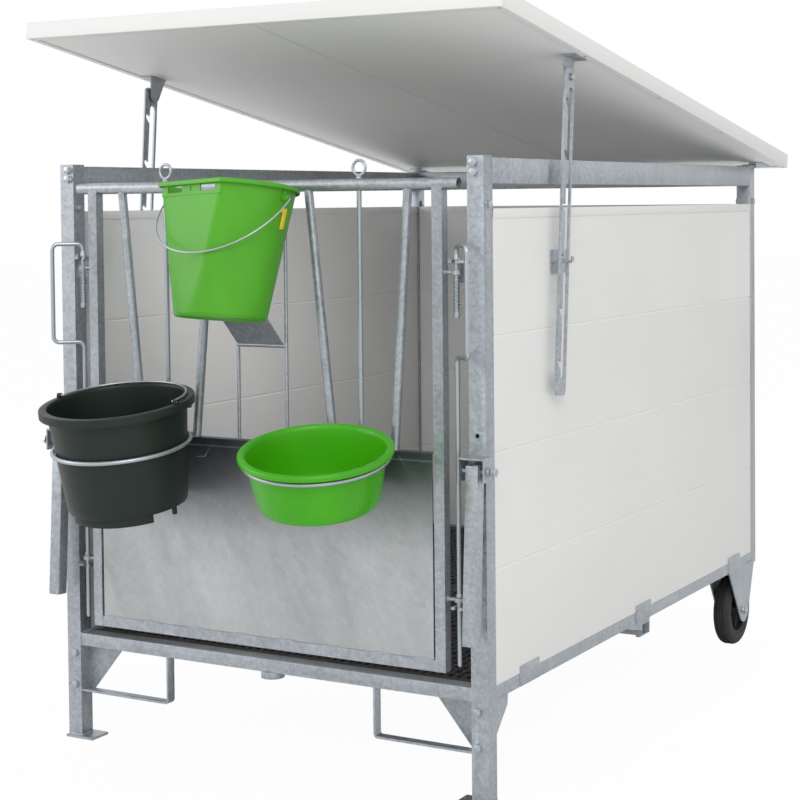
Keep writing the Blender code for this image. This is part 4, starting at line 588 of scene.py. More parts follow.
def hex_bolt(point, direction, across=0.016, height=0.006, washer=0.0098):
    """Hexagon head on a washer; the point is where it meets the metal."""
    point, direction = Vector(point), Vector(direction).normalized()
    turn = direction.to_track_quat("Z", "Y").to_matrix().to_4x4() @ Matrix.Rotation(0.35, 4, "Z")
    head = bmesh.new()
    bmesh.ops.create_cone(head, cap_ends=True, segments=6, radius1=across * 0.577, radius2=across * 0.577,
                          depth=height, matrix=Matrix.Translation((0, 0, 0.0012 + height / 2)))
    softened(head, 0.0007, 2)
    ring = bmesh.new()
    bmesh.ops.create_cone(ring, cap_ends=True, segments=28, radius1=washer, radius2=washer * 0.97,
                          depth=0.0016, matrix=Matrix.Translation((0, 0, 0.0007)))
    return moved(joined([head, ring]), Matrix.Translation(point) @ turn)


def make_piece(name, shape, finish, body, replaced=(), sharp=32):
    """Turn a shape drawn from the posts' front into a finished piece that moves with its body."""
    bmesh.ops.translate(shape, vec=(0, POST_FRONT, 0), verts=shape.verts)
    mesh = bpy.data.meshes.new(name)
    shape.to_mesh(mesh)
    shape.free()
    mesh.materials.append(FINISHES[finish])
    mesh.shade_smooth()
    mesh.set_sharp_from_angle(angle=math.radians(sharp))
    made = bpy.data.objects.new(name, mesh)
    bpy.context.scene.collection.objects.link(made)
    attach(made, body)
    if replaced:
        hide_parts(*replaced)
    return made


def roof_frame():
    """Roof pieces are drawn closed, with Y and Z from the hinge line."""
    return Matrix.Translation(joint_place("roof_hinge")) @ Matrix.Rotation(-ROOF_TILT, 4, "X")


# Pieces


class CALFBOX_OT_finishes(bpy.types.Operator):
    """Give every metal, plastic and rubber piece of the frame its finish"""
    bl_idname = "calf_box.finishes"
    bl_label = "Finishes"

    def execute(self, context):
        make_finishes(context.scene.calf_box_colours)
        slots = {entry["node"]: entry["material_slot"] for entry in frame["record"]["subparts"]}
        for name, node in frame["nodes"].items():
            node.data.materials.clear()
            node.data.materials.append(FINISHES[slots[name]])
        return {"FINISHED"}


class CALFBOX_OT_tube_edges(bpy.types.Operator):
    """Round the edges of the frame's square tubes, planks and panels"""
    bl_idname = "calf_box.tube_edges"
    bl_label = "Tube Edges"

    def execute(self, context):
        width = context.scene.calf_box_sizes.tube_edge
        panel_edge, plate_edge = 0.0015, 0.0006
        widths = {}
        for name in ("rail_upper_left", "rail_upper_right", "crossbar_rear", "rail_lower_left",
                     "rail_lower_right", "beam_rear", "fold_handle_left", "fold_handle_right"):
            widths[name] = width
        for name in ("wall_left", "wall_right", "wall_rear", "roof_trim", "roof_panel"):
            widths[name] = panel_edge
        for name in ("wall_cap_left", "wall_cap_right", "wall_cap_rear", "strut_left", "strut_right",
                     "wheel_fork_left", "wheel_fork_right", "lift_loop_left", "lift_loop_right",
                     "handle_bracket_left", "handle_bracket_right", "cross_member", "beam_front",
                     "post_front_left", "post_front_right", "post_rear_left", "post_rear_right",
                     "strut_bracket_left", "strut_bracket_right", "strut_pin_left", "strut_pin_right",
                     "roof_hinge_left", "roof_hinge_right", "gate_frame"):
            widths[name] = plate_edge
        for name, size in widths.items():
            node = frame["nodes"][name]
            weld_ends = node.modifiers.new("Weld", "WELD")
            weld_ends.merge_threshold = 0.00001
            edges = node.modifiers.new("Edges", "BEVEL")
            edges.width = size
            edges.segments = 2
            edges.limit_method = "ANGLE"
            edges.angle_limit = math.radians(40)
            edges.harden_normals = False
            node.data.shade_smooth()
            split = node.modifiers.new("Creases", "EDGE_SPLIT")
            split.split_angle = math.radians(31)
        return {"FINISHED"}


class CALFBOX_OT_fixings(bpy.types.Operator):
    """Hexagon bolts and washers on the posts and brackets"""
    bl_idname = "calf_box.fixings"
    bl_label = "Fixings"

    def execute(self, context):
        frame_bolts = []
        for _, sign in SIDES:
            for height in FRAME_BOLT_HEIGHTS:
                frame_bolts.append(hex_bolt((sign * FRAME_BOLT_X, -0.0004, height), (0, -1, 0)))
            for y in (0.020, FRAME_LENGTH - 0.020):
                frame_bolts.append(hex_bolt((sign * POST_OUT, y, CORNER_BOLT_Z), (sign, 0, 0)))
                frame_bolts.append(hex_bolt((sign * POST_IN, y, CORNER_BOLT_Z), (-sign, 0, 0)))
            x, y, z = HANDLE_PIVOT
            frame_bolts.append(hex_bolt((sign * x, y, z), (sign, 0, 0), 0.017, 0.006, 0.011))
        make_piece("frame_bolts", joined(frame_bolts), "fixing_zinc", "frame")
        return {"FINISHED"}


class CALFBOX_OT_welds(bpy.types.Operator):
    """Weld beads where tubes and plates meet"""
    bl_idname = "calf_box.welds"
    bl_label = "Welds"

    def execute(self, context):
        radius = context.scene.calf_box_sizes.weld_radius
        forks = [((POST_IN, -0.009, height + 0.003), (POST_IN, 0.012, height + 0.003), 0.8, 9)
                 for height in LATCH_FORKS]
        handle = [((edge, -0.0015, 0.710), (edge, -0.0015, 0.752), 0.9, 17) for edge in (0.536, 0.594)]
        rear = FRAME_LENGTH - 0.002
        on_each_side = (
            ((POST_IN, 0.002, RAIL_TOP), (POST_IN, 0.038, RAIL_TOP), 1, 3),
            ((POST_IN, 0.0, RAIL_LOW + 0.002), (POST_IN, 0.0, RAIL_TOP - 0.002), 1, 4),
            ((POST_IN, 0.0345, 0.130), (POST_IN, 0.0345, 0.222), 0.8, 5),
            ((0.440, 0.034, RAIL_LOW), (0.530, 0.034, RAIL_LOW), 0.8, 6),
            ((0.542, 0.0005, 0.006), (0.574, 0.0005, 0.006), 1, 7),
            ((POST_IN, 0.002, 0.006), (POST_IN, 0.038, 0.006), 1, 8),
            *forks,
            ((POST_IN, FRAME_LENGTH - 0.038, 1.336), (POST_IN, rear, 1.336), 1, 10),
            ((0.545, 0.0405, 1.390), (0.572, 0.0405, 1.390), 1, 11),
            ((0.5785, 0.041, 1.337), (0.5785, 0.041, 1.387), 0.8, 12),
            ((0.574, 0.040, 0.156), (0.574, 0.040, 0.220), 0.8, 13),
            ((0.5785, 1.500, RAIL_LOW), (0.5785, 1.535, RAIL_LOW), 1, 14),
            ((0.5785, 1.655, RAIL_LOW), (0.5785, 1.695, RAIL_LOW), 1, 15),
            ((POST_IN - 0.002, 0.002, 0.117), (POST_IN - 0.002, 0.022, 0.117), 1, 16),
            *handle,
        )
        beads = []
        for _, sign in SIDES:
            for start, end, share, seed in on_each_side:
                mirror = Matrix.Diagonal((sign, 1, 1))
                beads.append(weld(mirror @ Vector(start), mirror @ Vector(end), radius * share, seed))
        beads += weld_ring((0.0125, 0.020, RAIL_LOW), (1, 0, 0), (0, 1, 0), 0.0275, 12, radius * 0.8,
                           range(12))
        make_piece("frame_welds", joined(beads), "weld_zinc", "frame", sharp=60)

        beads = []
        half = GATE_HALF - GATE_TUBE
        on_sheet = SHEET_TOP + 0.001
        under_tube = TOP_TUBE_Z - 0.0125
        for _, sign in SIDES:
            for edge in (half, GATE_HALF):
                beads.append(weld((sign * edge, -0.0105, TOP_TUBE_Z - 0.0085),
                                  (sign * edge, 0.0105, TOP_TUBE_Z - 0.0085), radius * 0.9, 21))
            beads.append(weld((sign * half, -0.0126, GATE_LOW + 0.003),
                              (sign * half, -0.0126, GATE_LOW + 0.023), radius * 0.8, 22))
            for height in GATE_STUDS:
                beads += weld_ring((sign * 0.4835, 0, height), (0, 1, 0), (0, 0, 1), 0.0050, 6, radius * 0.7,
                                   range(23, 29))
            edge = sign * (half - 0.001)
            beads.append(weld((edge, -0.010, on_sheet), (edge, 0.010, on_sheet), radius, 31))
        for top, bottom in BAR_ENDS:
            for way in (-1, 1):
                middle = (bottom, way * -0.0105, on_sheet)
                beads.append(weld((bottom + way * 0.010, way * -0.004, on_sheet), middle, radius * 0.8, 32))
                beads.append(weld(middle, (bottom - way * 0.010, way * -0.004, on_sheet), radius * 0.8, 33))
            beads.append(weld((top - 0.010, -0.006, under_tube), (top + 0.010, -0.006, under_tube),
                              radius * 0.8, 34))
        for x in THIN_RODS:
            for half_width, y, z, seed in ((0.004, -0.003, on_sheet, 35), (0.004, -0.006, under_tube, 36),
                                           (0.003, -0.004, 0.975, 37)):
                beads.append(weld((x - half_width, y, z), (x + half_width, y, z), radius * 0.7, seed))
        for index, start in enumerate((-0.448, -0.330, -0.205, -0.075, 0.050, 0.170, 0.300, 0.410)):
            beads.append(weld((start, -0.0115, 0.3110), (start + 0.040, -0.0115, 0.3110), radius * 0.9,
                              40 + index))
        make_piece("gate_welds", joined(beads), "weld_zinc", "gate", sharp=60)
        return {"FINISHED"}


class CALFBOX_OT_gate_sheet(bpy.types.Operator):
    """Sheet of the gate with its folded top, creases and corner ears"""
    bl_idname = "calf_box.gate_sheet"
    bl_label = "Gate Sheet"

    def execute(self, context):
        half = GATE_HALF - GATE_TUBE - 0.005
        low, top = GATE_LOW + GATE_TUBE + 0.0003, SHEET_TOP
        front, lip, thick = -0.0105, 0.0125, 0.002
        step = math.radians(20)
        outer = rounded([(0, front, low), (0, front, top), (0, lip, top)], 0.003, step)
        inner = rounded([(0, front + thick, low), (0, front + thick, top - thick), (0, lip, top - thick)],
                        0.0012, step)
        outline = [(point.y, point.z) for point in (*outer, *reversed(inner))]
        sheet = slab(outline, "X", -half, half)
        ears = []
        for sign in (-1, 1):
            near, far = sorted((sign * (half - 0.001), sign * (GATE_HALF - GATE_TUBE - 0.0003)))
            ears.append(block((near, -0.0100, top - 0.002), (far, 0.0120, top), 0.0004))
        creases = []
        for sign, reach in ((-1, 0.035), (1, 0.040)):
            depth = front - 0.0003
            corner = (sign * (half - 0.004), depth, top - 0.006)
            near = (sign * (half - reach), depth, top - 0.030)
            bend = (sign * (half - reach - 0.028), depth, top - 0.0305)
            end = (sign * (half - reach - 0.045), depth, top - 0.010)
            creases.append(bar([corner, near, bend], 0.0011, 8))
            creases.append(bar([bend, end], 0.0011, 8))
        make_piece("sheet_of_gate", joined([sheet, *ears, *creases]), "galvanised_sheet", "gate",
                   ["gate_sheet"])
        pressed = [(-0.1913, 0.7387), (-0.1298, 0.7400), (-0.1498, 0.7132), (-0.1716, 0.7120)]
        tab = bar([(x, front - 0.0002, z) for x, z in pressed], 0.0009, 8)
        make_piece("tab_of_gate_sheet", tab, "fixing_zinc", "gate")
        return {"FINISHED"}


class CALFBOX_OT_latches(bpy.types.Operator):
    """Bent latch rods with their collars and spring seats"""
    bl_idname = "calf_box.latches"
    bl_label = "Latches"

    def execute(self, context):
        for side, _ in SIDES:
            x = LATCH_X
            grip = (x + 0.052, -0.051)
            line = rounded([(x, 0, 1.050), (x, 0, 1.203), (*grip, 1.203), (*grip, 0.967), (x, 0, 0.967),
                            (x, 0, 0.303)], 0.014)
            rod = bar(line, 0.005, 18)
            nut = barrel((x, 0, 1.1723), (x, 0, 1.1763), 0.008, sides=6, edge=0.0005)
            cone = barrel((x, 0, 1.1758), (x, 0, 1.1853), 0.0072, 0.0055, 24)
            disc = barrel((x, 0, 1.0580), (x, 0, 1.0600), 0.0085, edge=0.0004)
            nub = barrel((x, 0, 1.0490), (x, 0, 1.0585), 0.0068, 0.0078, 20, 0.0008)
            pin = barrel((x - 0.0098, 0, 1.0545), (x + 0.0098, 0, 1.0545), 0.0013, sides=10)
            low_nut = barrel((x, 0, 0.4488), (x, 0, 0.4538), 0.0075, sides=6, edge=0.0005)
            low_cone = barrel((x, 0, 0.4533), (x, 0, 0.4568), 0.0075, 0.0058, 24)
            tip = barrel((x, 0, 0.3000), (x, 0, 0.3032), 0.0036, 0.0049, 18)
            shape = on_side(joined([rod, nut, cone, disc, nub, pin, low_nut, low_cone, tip]), side)
            make_piece(f"latch_of_{side}", shape, "bright_zinc", f"latch_{side}", [f"latch_rod_{side}"])
            spring = frame["nodes"][f"latch_spring_{side}"]
            spring.data.materials.clear()
            spring.data.materials.append(FINISHES["fixing_zinc"])
        return {"FINISHED"}


class CALFBOX_OT_ring_rods(bpy.types.Operator):
    """Lift-out rods with their pull rings"""
    bl_idname = "calf_box.ring_rods"
    bl_label = "Ring Rods"

    def execute(self, context):
        for side, x in RODS.items():
            centre = Vector((x, 0, 1.37245))
            reach, lean, steps = 0.0165, 0.0016, 28
            ring = []
            for step in range(steps + 1):
                angle = -math.pi / 2 + math.tau * step / steps
                ring.append(centre + Vector((reach * math.cos(angle), lean * math.sin(angle / 2),
                                             reach * math.sin(angle))))
            rod = bar([(x, 0, 0.745), (x, 0, 1.3560)], 0.0055, 18)
            eye = bar(ring, 0.0034, 14)
            collar = barrel((x, 0, 1.3488), (x, 0, 1.3518), 0.0076, edge=0.0006)
            tip = barrel((x, 0, 0.7425), (x, 0, 0.7455), 0.0040, 0.0054, 18)
            make_piece(f"pull_rod_{side}", joined([rod, eye, collar, tip]), "bright_zinc",
                       f"ring_rod_{side}", [f"ring_rod_{side}"])
        return {"FINISHED"}


def clamped(shape, limits):
    """Press the turned wall flat: points beyond their own flat side are moved onto it."""
    bmesh.ops.transform(shape, matrix=Matrix.Rotation(math.pi / 2, 4, "Z"), verts=shape.verts)
    for vert in shape.verts:
        radius = math.hypot(vert.co.x, vert.co.y)
        nearest = min(limits, key=lambda item: abs(item[0] - radius) + abs(item[1] - vert.co.z))
        vert.co.y = max(vert.co.y, -nearest[2])
    return shape


def wire_bail(half, reach, radius, tail, steps=56):
    """Wire handle that reaches towards -Y; its straight ends turn in or out along X."""
    way = 1 if tail > half else -1
    bend = 0.0045
    line = [Vector((tail, 0, 0)), Vector((half + way * (bend + 0.001), 0, 0))]
    for step in range(5):
        angle = math.pi / 2 * step / 4
        line.append(Vector((half + way * bend * (1 - math.sin(angle)), bend * (math.cos(angle) - 1), 0)))
    for step in range(1, steps):
        angle = math.pi * step / steps
        line.append(Vector((half * math.cos(angle), -bend - (reach - bend) * math.sin(angle), 0)))
    line += [Vector((-point.x, point.y, 0)) for point in reversed(line[:7])]
    return bar(line, radius, 14)


def open_band(shape, plane, low, high):
    """Take the flat wall's faces between two heights out, and say how far they reached."""
    slack = 0.0001

    def within(vert):
        return low - slack < vert.co.z < high + slack and vert.co.y < plane + slack

    faces = [face for face in shape.faces if all(within(vert) for vert in face.verts)]
    reach = max(abs(vert.co.x) for face in faces for vert in face.verts)
    bmesh.ops.delete(shape, geom=faces, context="FACES")
    return reach


def slotted_band(reach, plane, thick, low, high):
    """Strip of the flat wall with two long hanging slots and a short one between them."""
    slot_low, slot_high, near, far = 0.26525, 0.27875, 0.032, 0.084
    short_half, short_low, short_high = 0.002, 0.2670, 0.2770
    columns = (-reach, -far, -near, -short_half, short_half, near, far, reach)
    rows = (low, slot_low, short_low, short_high, slot_high, high)
    strip = bmesh.new()
    bmesh.ops.create_grid(strip, x_segments=len(columns) - 1, y_segments=len(rows) - 1, size=1)
    for vert in strip.verts:
        column = round((vert.co.x + 1) / 2 * (len(columns) - 1))
        row = round((vert.co.y + 1) / 2 * (len(rows) - 1))
        vert.co = (columns[column], plane, rows[row])
    holes = []
    for face in strip.faces:
        middle = face.calc_center_median()
        long_slot = near < abs(middle.x) < far and slot_low < middle.z < slot_high
        short_slot = abs(middle.x) < short_half and short_low < middle.z < short_high
        if long_slot or short_slot:
            holes.append(face)
    bmesh.ops.delete(strip, geom=holes, context="FACES")
    bmesh.ops.recalc_face_normals(strip, faces=strip.faces)
    bmesh.ops.solidify(strip, geom=strip.faces[:], thickness=thick)
    shift = plane - min(vert.co.y for vert in strip.verts)
    bmesh.ops.translate(strip, vec=(0, shift, 0), verts=strip.verts)
    corners = []
    for edge in strip.edges:
        first, last = (vert.co for vert in edge.verts)
        through = abs(first.y - last.y) > thick / 2
        at_side = min(abs(abs(first.x) - near), abs(abs(first.x) - far)) < 0.0001
        at_end = min(abs(first.z - slot_low), abs(first.z - slot_high)) < 0.0001
        if through and at_side and at_end:
            corners.append(edge)
    bmesh.ops.bevel(strip, geom=corners, offset=0.0055, offset_type="OFFSET", segments=5, profile=0.5,
                    affect="EDGES", material=-1, clamp_overlap=True)
    return strip


class CALFBOX_OT_green_bucket(bpy.types.Operator):
    """Drinking bucket with its flat side, hanging slots, bail and clip"""
    bl_idname = "calf_box.green_bucket"
    bl_label = "Green Bucket"

    def execute(self, context):
        steps = context.scene.calf_box_sizes.turns
        height, flat, wall, lip = 0.290, 0.100, 0.0025, 0.0075
        band = (0.2600, 0.2795)
        place = Matrix.Translation(GREEN_RIM) @ Matrix.Rotation(math.radians(GREEN_TILT), 4, "X")
        place = place @ Matrix.Translation((0, 0, -height))

        def radius_at(level):
            return 0.100 + 0.0475 * level / height

        ear_level = height - 0.028
        edge = flat + lip
        out = [(0, 0.004, flat), (0.080, 0.004, flat), (0.088, 0.0035, flat), (0.090, 0.0002, flat),
               (0.0965, 0.0, flat), (0.0995, 0.0022, flat)]
        out += [(radius_at(level), level, flat)
                for level in (0.010, 0.060, 0.120, 0.180, 0.230, *band, 0.2868)]
        rim = [(0.1500, 0.2872, edge - 0.0030), (0.1526, 0.2865, edge - wall), (0.1527, 0.2808, edge - wall),
               (0.1534, 0.2804, edge - 0.0015), (0.1546, 0.2806, edge - 0.0003), (0.1550, 0.2815, edge),
               (0.1550, 0.2880, edge), (0.1540, 0.2895, edge - 0.0008), (0.1520, 0.2900, edge - 0.0020),
               (0.1480, 0.2895, flat), (0.1460, 0.2875, flat - wall)]
        inside = [(radius_at(level) - wall, level, flat - wall)
                  for level in (*reversed(band), 0.230, 0.180, 0.120, 0.060, 0.012)]
        inside += [(0.0945, 0.0068, flat - wall), (0.090, 0.0055, flat - wall), (0, 0.0055, flat - wall)]
        limits = out + rim + inside
        body = clamped(lathe([(r, z) for r, z, _ in limits], steps), limits)
        reach = open_band(body, wall - flat, *band)
        strip = slotted_band(reach + 0.001, -flat - 0.0003, wall + 0.0006, band[0] - 0.001, band[1] + 0.0006)
        line = block((-reach, -flat - 0.0009, band[0] - 0.0022), (reach, -flat + 0.001, band[0] - 0.0010),
                     0.0003)
        body = moved(joined([body, strip, line]), Matrix.Rotation(math.radians(-17), 4, "Z"))
        ears = []
        for sign in (-1, 1):
            start = sign * (radius_at(ear_level) - 0.002)
            end = sign * (radius_at(ear_level) + 0.0145)
            ears.append(barrel((start, 0, ear_level), (end, 0, ear_level), 0.0078, 0.0066, 24, 0.001))
            web = [(-0.0035, ear_level + 0.002), (0.0035, ear_level + 0.002), (0.0035, 0.2815),
                   (-0.0035, 0.2815)]
            ears.append(slab(web, "X", *sorted((start, end - sign * 0.008)), edge=0.0008))
        foot = bar(circle(radius_at(0.006) + 0.0002, 64, (0, 0, 0.006)), 0.0009, 6, True)
        shape = joined([body, foot, *ears])
        make_piece("bucket_green", moved(shape, place), "green_bucket", "green_bucket", ["green_bucket"])

        bail = wire_bail(0.163, 0.179, 0.0021, radius_at(ear_level) + 0.0025)
        swing = (place @ Matrix.Translation((0, 0, ear_level))
                 @ Matrix.Rotation(math.radians(GREEN_BAIL_TILT), 4, "X"))
        make_piece("bucket_green_bail", moved(bail, swing), "bright_zinc", "green_bucket_bail",
                   ["green_bucket_bail"])

        high = height - 0.048
        lean = math.atan(0.0475 / height)
        clip = joined([
            block((0.0002, -0.0070, -0.046), (0.0042, 0.0075, 0), 0.0015),
            block((0.0004, -0.0150, -0.0105), (0.0038, 0.0010, -0.0003), 0.0013),
            barrel((0.0010, 0.0005, -0.038), (0.0048, 0.0005, -0.038), 0.0032, 0.0028, 20, 0.0006),
        ])
        clip_place = (place @ Matrix.Rotation(math.radians(6), 4, "Z")
                      @ Matrix.Translation((radius_at(high), 0, high)) @ Matrix.Rotation(lean, 4, "Y"))
        make_piece("bucket_clip", moved(clip, clip_place), "yellow_clip", "green_bucket", ["bail_clip"])
        return {"FINISHED"}


class CALFBOX_OT_dark_bucket(bpy.types.Operator):
    """Feed bucket with its wide rim, eyes, broken foot ring, lugs and bail"""
    bl_idname = "calf_box.dark_bucket"
    bl_label = "Dark Bucket"

    def execute(self, context):
        steps = context.scene.calf_box_sizes.turns
        place = Matrix.Translation(DARK_RIM) @ Matrix.Rotation(math.radians(DARK_TILT), 4, "X")

        def radius_at(depth):
            return 0.156 + (0.1345 - 0.156) * (depth - 0.018) / (0.239 - 0.018)

        profile = [(0, -0.2385), (0.112, -0.2385), (0.1140, -0.2390), (0.1300, -0.2390), (0.1330, -0.2382),
                   (0.1343, -0.2360)]
        profile += [(radius_at(depth), -depth)
                    for depth in (0.215, 0.180, 0.150, 0.120, 0.090, 0.060, 0.035, 0.010)]
        profile += [(0.1580, -0.0058), (0.1592, -0.0051), (0.1690, -0.0050), (0.1701, -0.0056),
                    (0.1706, -0.0176), (0.1712, -0.0181), (0.1734, -0.0181), (0.1741, -0.0174),
                    (0.1742, -0.0045), (0.1736, -0.0016), (0.1716, -0.0002), (0.1640, 0.0),
                    (0.1585, 0.0), (0.1566, -0.0008), (0.1552, -0.0030), (0.1545, -0.0080)]
        profile += [(radius_at(depth) - 0.003, -depth) for depth in (0.030, 0.090, 0.150, 0.210)]
        profile += [(0.1305, -0.2325), (0.1265, -0.2355), (0, -0.2358)]
        shapes = [lathe(profile, steps)]
        for sign in (-1, 1):
            bore, outside, thick = 0.0031, 0.0052, 0.0045
            eye = lathe([(bore, -thick), (outside, -thick), (outside, thick), (bore, thick)], 28,
                        closed=True)
            eye_place = Matrix.Translation((sign * 0.165, 0, 0.0045)) @ Matrix.Rotation(math.pi / 2, 4, "Y")
            shapes.append(moved(eye, eye_place))
            near, far = sorted((sign * 0.1605, sign * 0.1695))
            for y in (-0.0062, 0.0036):
                shapes.append(block((near, y, -0.001), (far, y + 0.0026, 0.0032), 0.0006))
        for start, end in ((-122.7, -26), (2, 6), (45, 87.3), (117.3, 207.3)):
            outline = []
            count = max(2, round((end - start) / 5))
            for radius, turns in ((0.127, range(count + 1)), (0.118, range(count, -1, -1))):
                for turn in turns:
                    angle = math.radians(start + (end - start) * turn / count)
                    outline.append((radius * math.cos(angle), radius * math.sin(angle)))
            shapes.append(slab(outline, "Z", -0.258, -0.238, 0.0012))
        lugs = ((39, 0.153, 0.164, -0.036, -0.0172), (129, 0.158, 0.1700, -0.001, 0.0045))
        for degrees, near, far, low, high in lugs:
            lug = block((near, -0.006, low), (far, 0.006, high), 0.0012)
            shapes.append(moved(lug, Matrix.Rotation(math.radians(degrees), 4, "Z")))
        make_piece("bucket_dark", moved(joined(shapes), place), "dark_bucket", "dark_bucket",
                   ["dark_bucket"])

        bail = moved(wire_bail(0.1545, 0.1545, 0.0026, 0.1680), Matrix.Rotation(math.pi, 4, "Z"))
        swing = place @ Matrix.Translation((0, 0, 0.0045))
        make_piece("bucket_dark_bail", moved(bail, swing), "bright_zinc", "dark_bucket_bail",
                   ["dark_bucket_bail"])
        return {"FINISHED"}


class CALFBOX_OT_feed_bowl(bpy.types.Operator):
    """Wide feed bowl with its turned-down rim"""
    bl_idname = "calf_box.feed_bowl"
    bl_label = "Feed Bowl"

    def execute(self, context):
        steps = context.scene.calf_box_sizes.turns
        place = (Matrix.Translation(BOWL_RIM) @ Matrix.Rotation(math.radians(BOWL_ROLL), 4, "Y")
                 @ Matrix.Rotation(math.radians(BOWL_TILT), 4, "X"))

        def radius_at(depth):
            return 0.152 + (0.130 - 0.152) * (depth - 0.003) / (0.124 - 0.003)

        profile = [(0, -0.1220), (0.102, -0.1220), (0.108, -0.1228), (0.112, -0.1240), (0.1205, -0.1240),
                   (0.1252, -0.1220), (0.1286, -0.1175)]
        profile += [(radius_at(depth), -depth) for depth in (0.104, 0.080, 0.060, 0.040, 0.020, 0.006)]
        profile += [(0.1535, -0.0035), (0.1615, -0.0032), (0.1630, -0.0040), (0.1634, -0.0110),
                    (0.1642, -0.0115), (0.1656, -0.0115), (0.1662, -0.0105), (0.1663, -0.0035),
                    (0.1655, -0.0015), (0.1640, -0.0003), (0.1560, 0.0), (0.1520, -0.0010),
                    (0.1498, -0.0035)]
        profile += [(radius_at(depth) - 0.003, -depth) for depth in (0.010, 0.030, 0.060, 0.090)]
        profile += [(0.1290, -0.1075), (0.1255, -0.1155), (0.1180, -0.1195), (0.107, -0.1200), (0, -0.1190)]
        make_piece("bowl_green", moved(lathe(profile, steps), place), "green_bowl", "feed_bowl",
                   ["feed_bowl"])
        return {"FINISHED"}


class CALFBOX_OT_bucket_rings(bpy.types.Operator):
    """Wire rings that hang the bucket and the bowl on the gate sheet"""
    bl_idname = "calf_box.bucket_rings"
    bl_label = "Bucket Rings"

    def execute(self, context):
        rings = (
            ("dark_bucket_ring", DARK_RIM, DARK_TILT, 0, 0.102, 0.005, 0.1541),
            ("feed_bowl_ring", BOWL_RIM, BOWL_TILT, BOWL_ROLL, 0.020, 0.0045, 0.1562),
        )
        for name, rim, tilt, roll, depth, wire, radius in rings:
            place = (Matrix.Translation(rim) @ Matrix.Rotation(math.radians(roll), 4, "Y")
                     @ Matrix.Rotation(math.radians(tilt), 4, "X"))
            shapes = [moved(bar(circle(radius, 96, (0, 0, -depth)), wire - 0.0001, 14, True), place)]
            over = SHEET_TOP + 0.0043
            behind = 0.0168
            for sign in (-1, 1):
                x = sign * 0.045
                start = place @ Vector((x, math.sqrt(radius ** 2 - x ** 2), -depth))
                line = rounded([start, (start.x, -0.0205, over), (start.x, behind, over),
                                (start.x, behind, over - 0.022)], 0.0045)
                shapes.append(bar(line, 0.0039, 14))
                bead = start + Vector((0, 0, 0.002))
                shapes.append(weld(bead - Vector((0.006, 0, 0)), bead + Vector((0.006, 0, 0)), 0.0022, 50))
            make_piece(f"hung_{name}", joined(shapes), "bright_zinc", "gate", [name])
        return {"FINISHED"}


class CALFBOX_OT_wheels(bpy.types.Operator):
    """Tyres and rims with their hubs, webs and axle nuts"""
    bl_idname = "calf_box.wheels"
    bl_label = "Wheels"

    def execute(self, context):
        turn = Matrix.Rotation(math.pi / 2, 4, "Y")
        for side, _ in SIDES:
            hub = joint_place(f"wheel_{side}_spin")
            hub.x = abs(hub.x)
            half = 0.0235
            tread = 0.1004
            profile = [(0.0683, -half + 0.004), (0.0700, -half + 0.001), (0.0740, -half),
                       (0.0800, -half + 0.0004), (0.0860, -half), (0.0920, -half + 0.0016),
                       (0.0965, -half + 0.005), (0.0990, -half + 0.0095)]
            grooves = []
            floor = tread - 0.0022
            for middle in (-0.0085, 0, 0.0085):
                grooves += [(tread, middle - 0.0014), (floor, middle - 0.0009), (floor, middle + 0.0009),
                            (tread, middle + 0.0014)]
            mirrored = [(radius, -height) for radius, height in reversed(profile)]
            tyre = lathe(profile + grooves + mirrored, 84, closed=True)
            tyre = moved(tyre, Matrix.Translation((WHEEL_X - hub.x, 0, 0)) @ turn)
            tyre = on_side(moved(tyre, Matrix.Translation(hub)), side)
            make_piece(f"tyre_of_{side}", tyre, "tyre_rubber", f"wheel_{side}", [f"tyre_{side}"])
            edge = half - 0.002
            profile = [(0.0064, -0.0284), (0.0120, -0.0284), (0.0135, -0.0270), (0.0160, -0.0120),
                       (0.0190, -0.0062), (0.0560, -0.0040), (0.0600, -0.0060), (0.0615, -edge + 0.001),
                       (0.0625, -edge), (0.0672, -edge), (0.0680, -edge + 0.001)]
            mirrored = [(radius, -height) for radius, height in reversed(profile)]
            rim = lathe(profile + mirrored, 84, closed=True)
            webs = []
            for step in range(6):
                for face in (-1, 1):
                    outline = [(0.0145, face * 0.0030), (0.0590, face * 0.0030), (0.0605, face * 0.0120),
                               (0.0160, face * 0.0150)]
                    web = slab(outline, "Y", -0.0016, 0.0016, 0.0005)
                    webs.append(moved(web, Matrix.Rotation(math.tau * step / 6, 4, "Z")))
            rim = moved(joined([rim, *webs]), turn)
            rim = on_side(moved(rim, Matrix.Translation(hub)), side)
            make_piece(f"rim_of_{side}", rim, "wheel_rim", f"wheel_{side}", [f"wheel_rim_{side}"])
        nuts = []
        for side, sign in SIDES:
            hub = joint_place(f"wheel_{side}_spin")
            for x, way in AXLE_NUTS:
                nuts.append(hex_bolt((sign * x, hub.y, hub.z), (sign * way, 0, 0), 0.019, 0.0065, 0.0115))
        make_piece("axle_nuts", joined(nuts), "fixing_zinc", "frame")
        return {"FINISHED"}


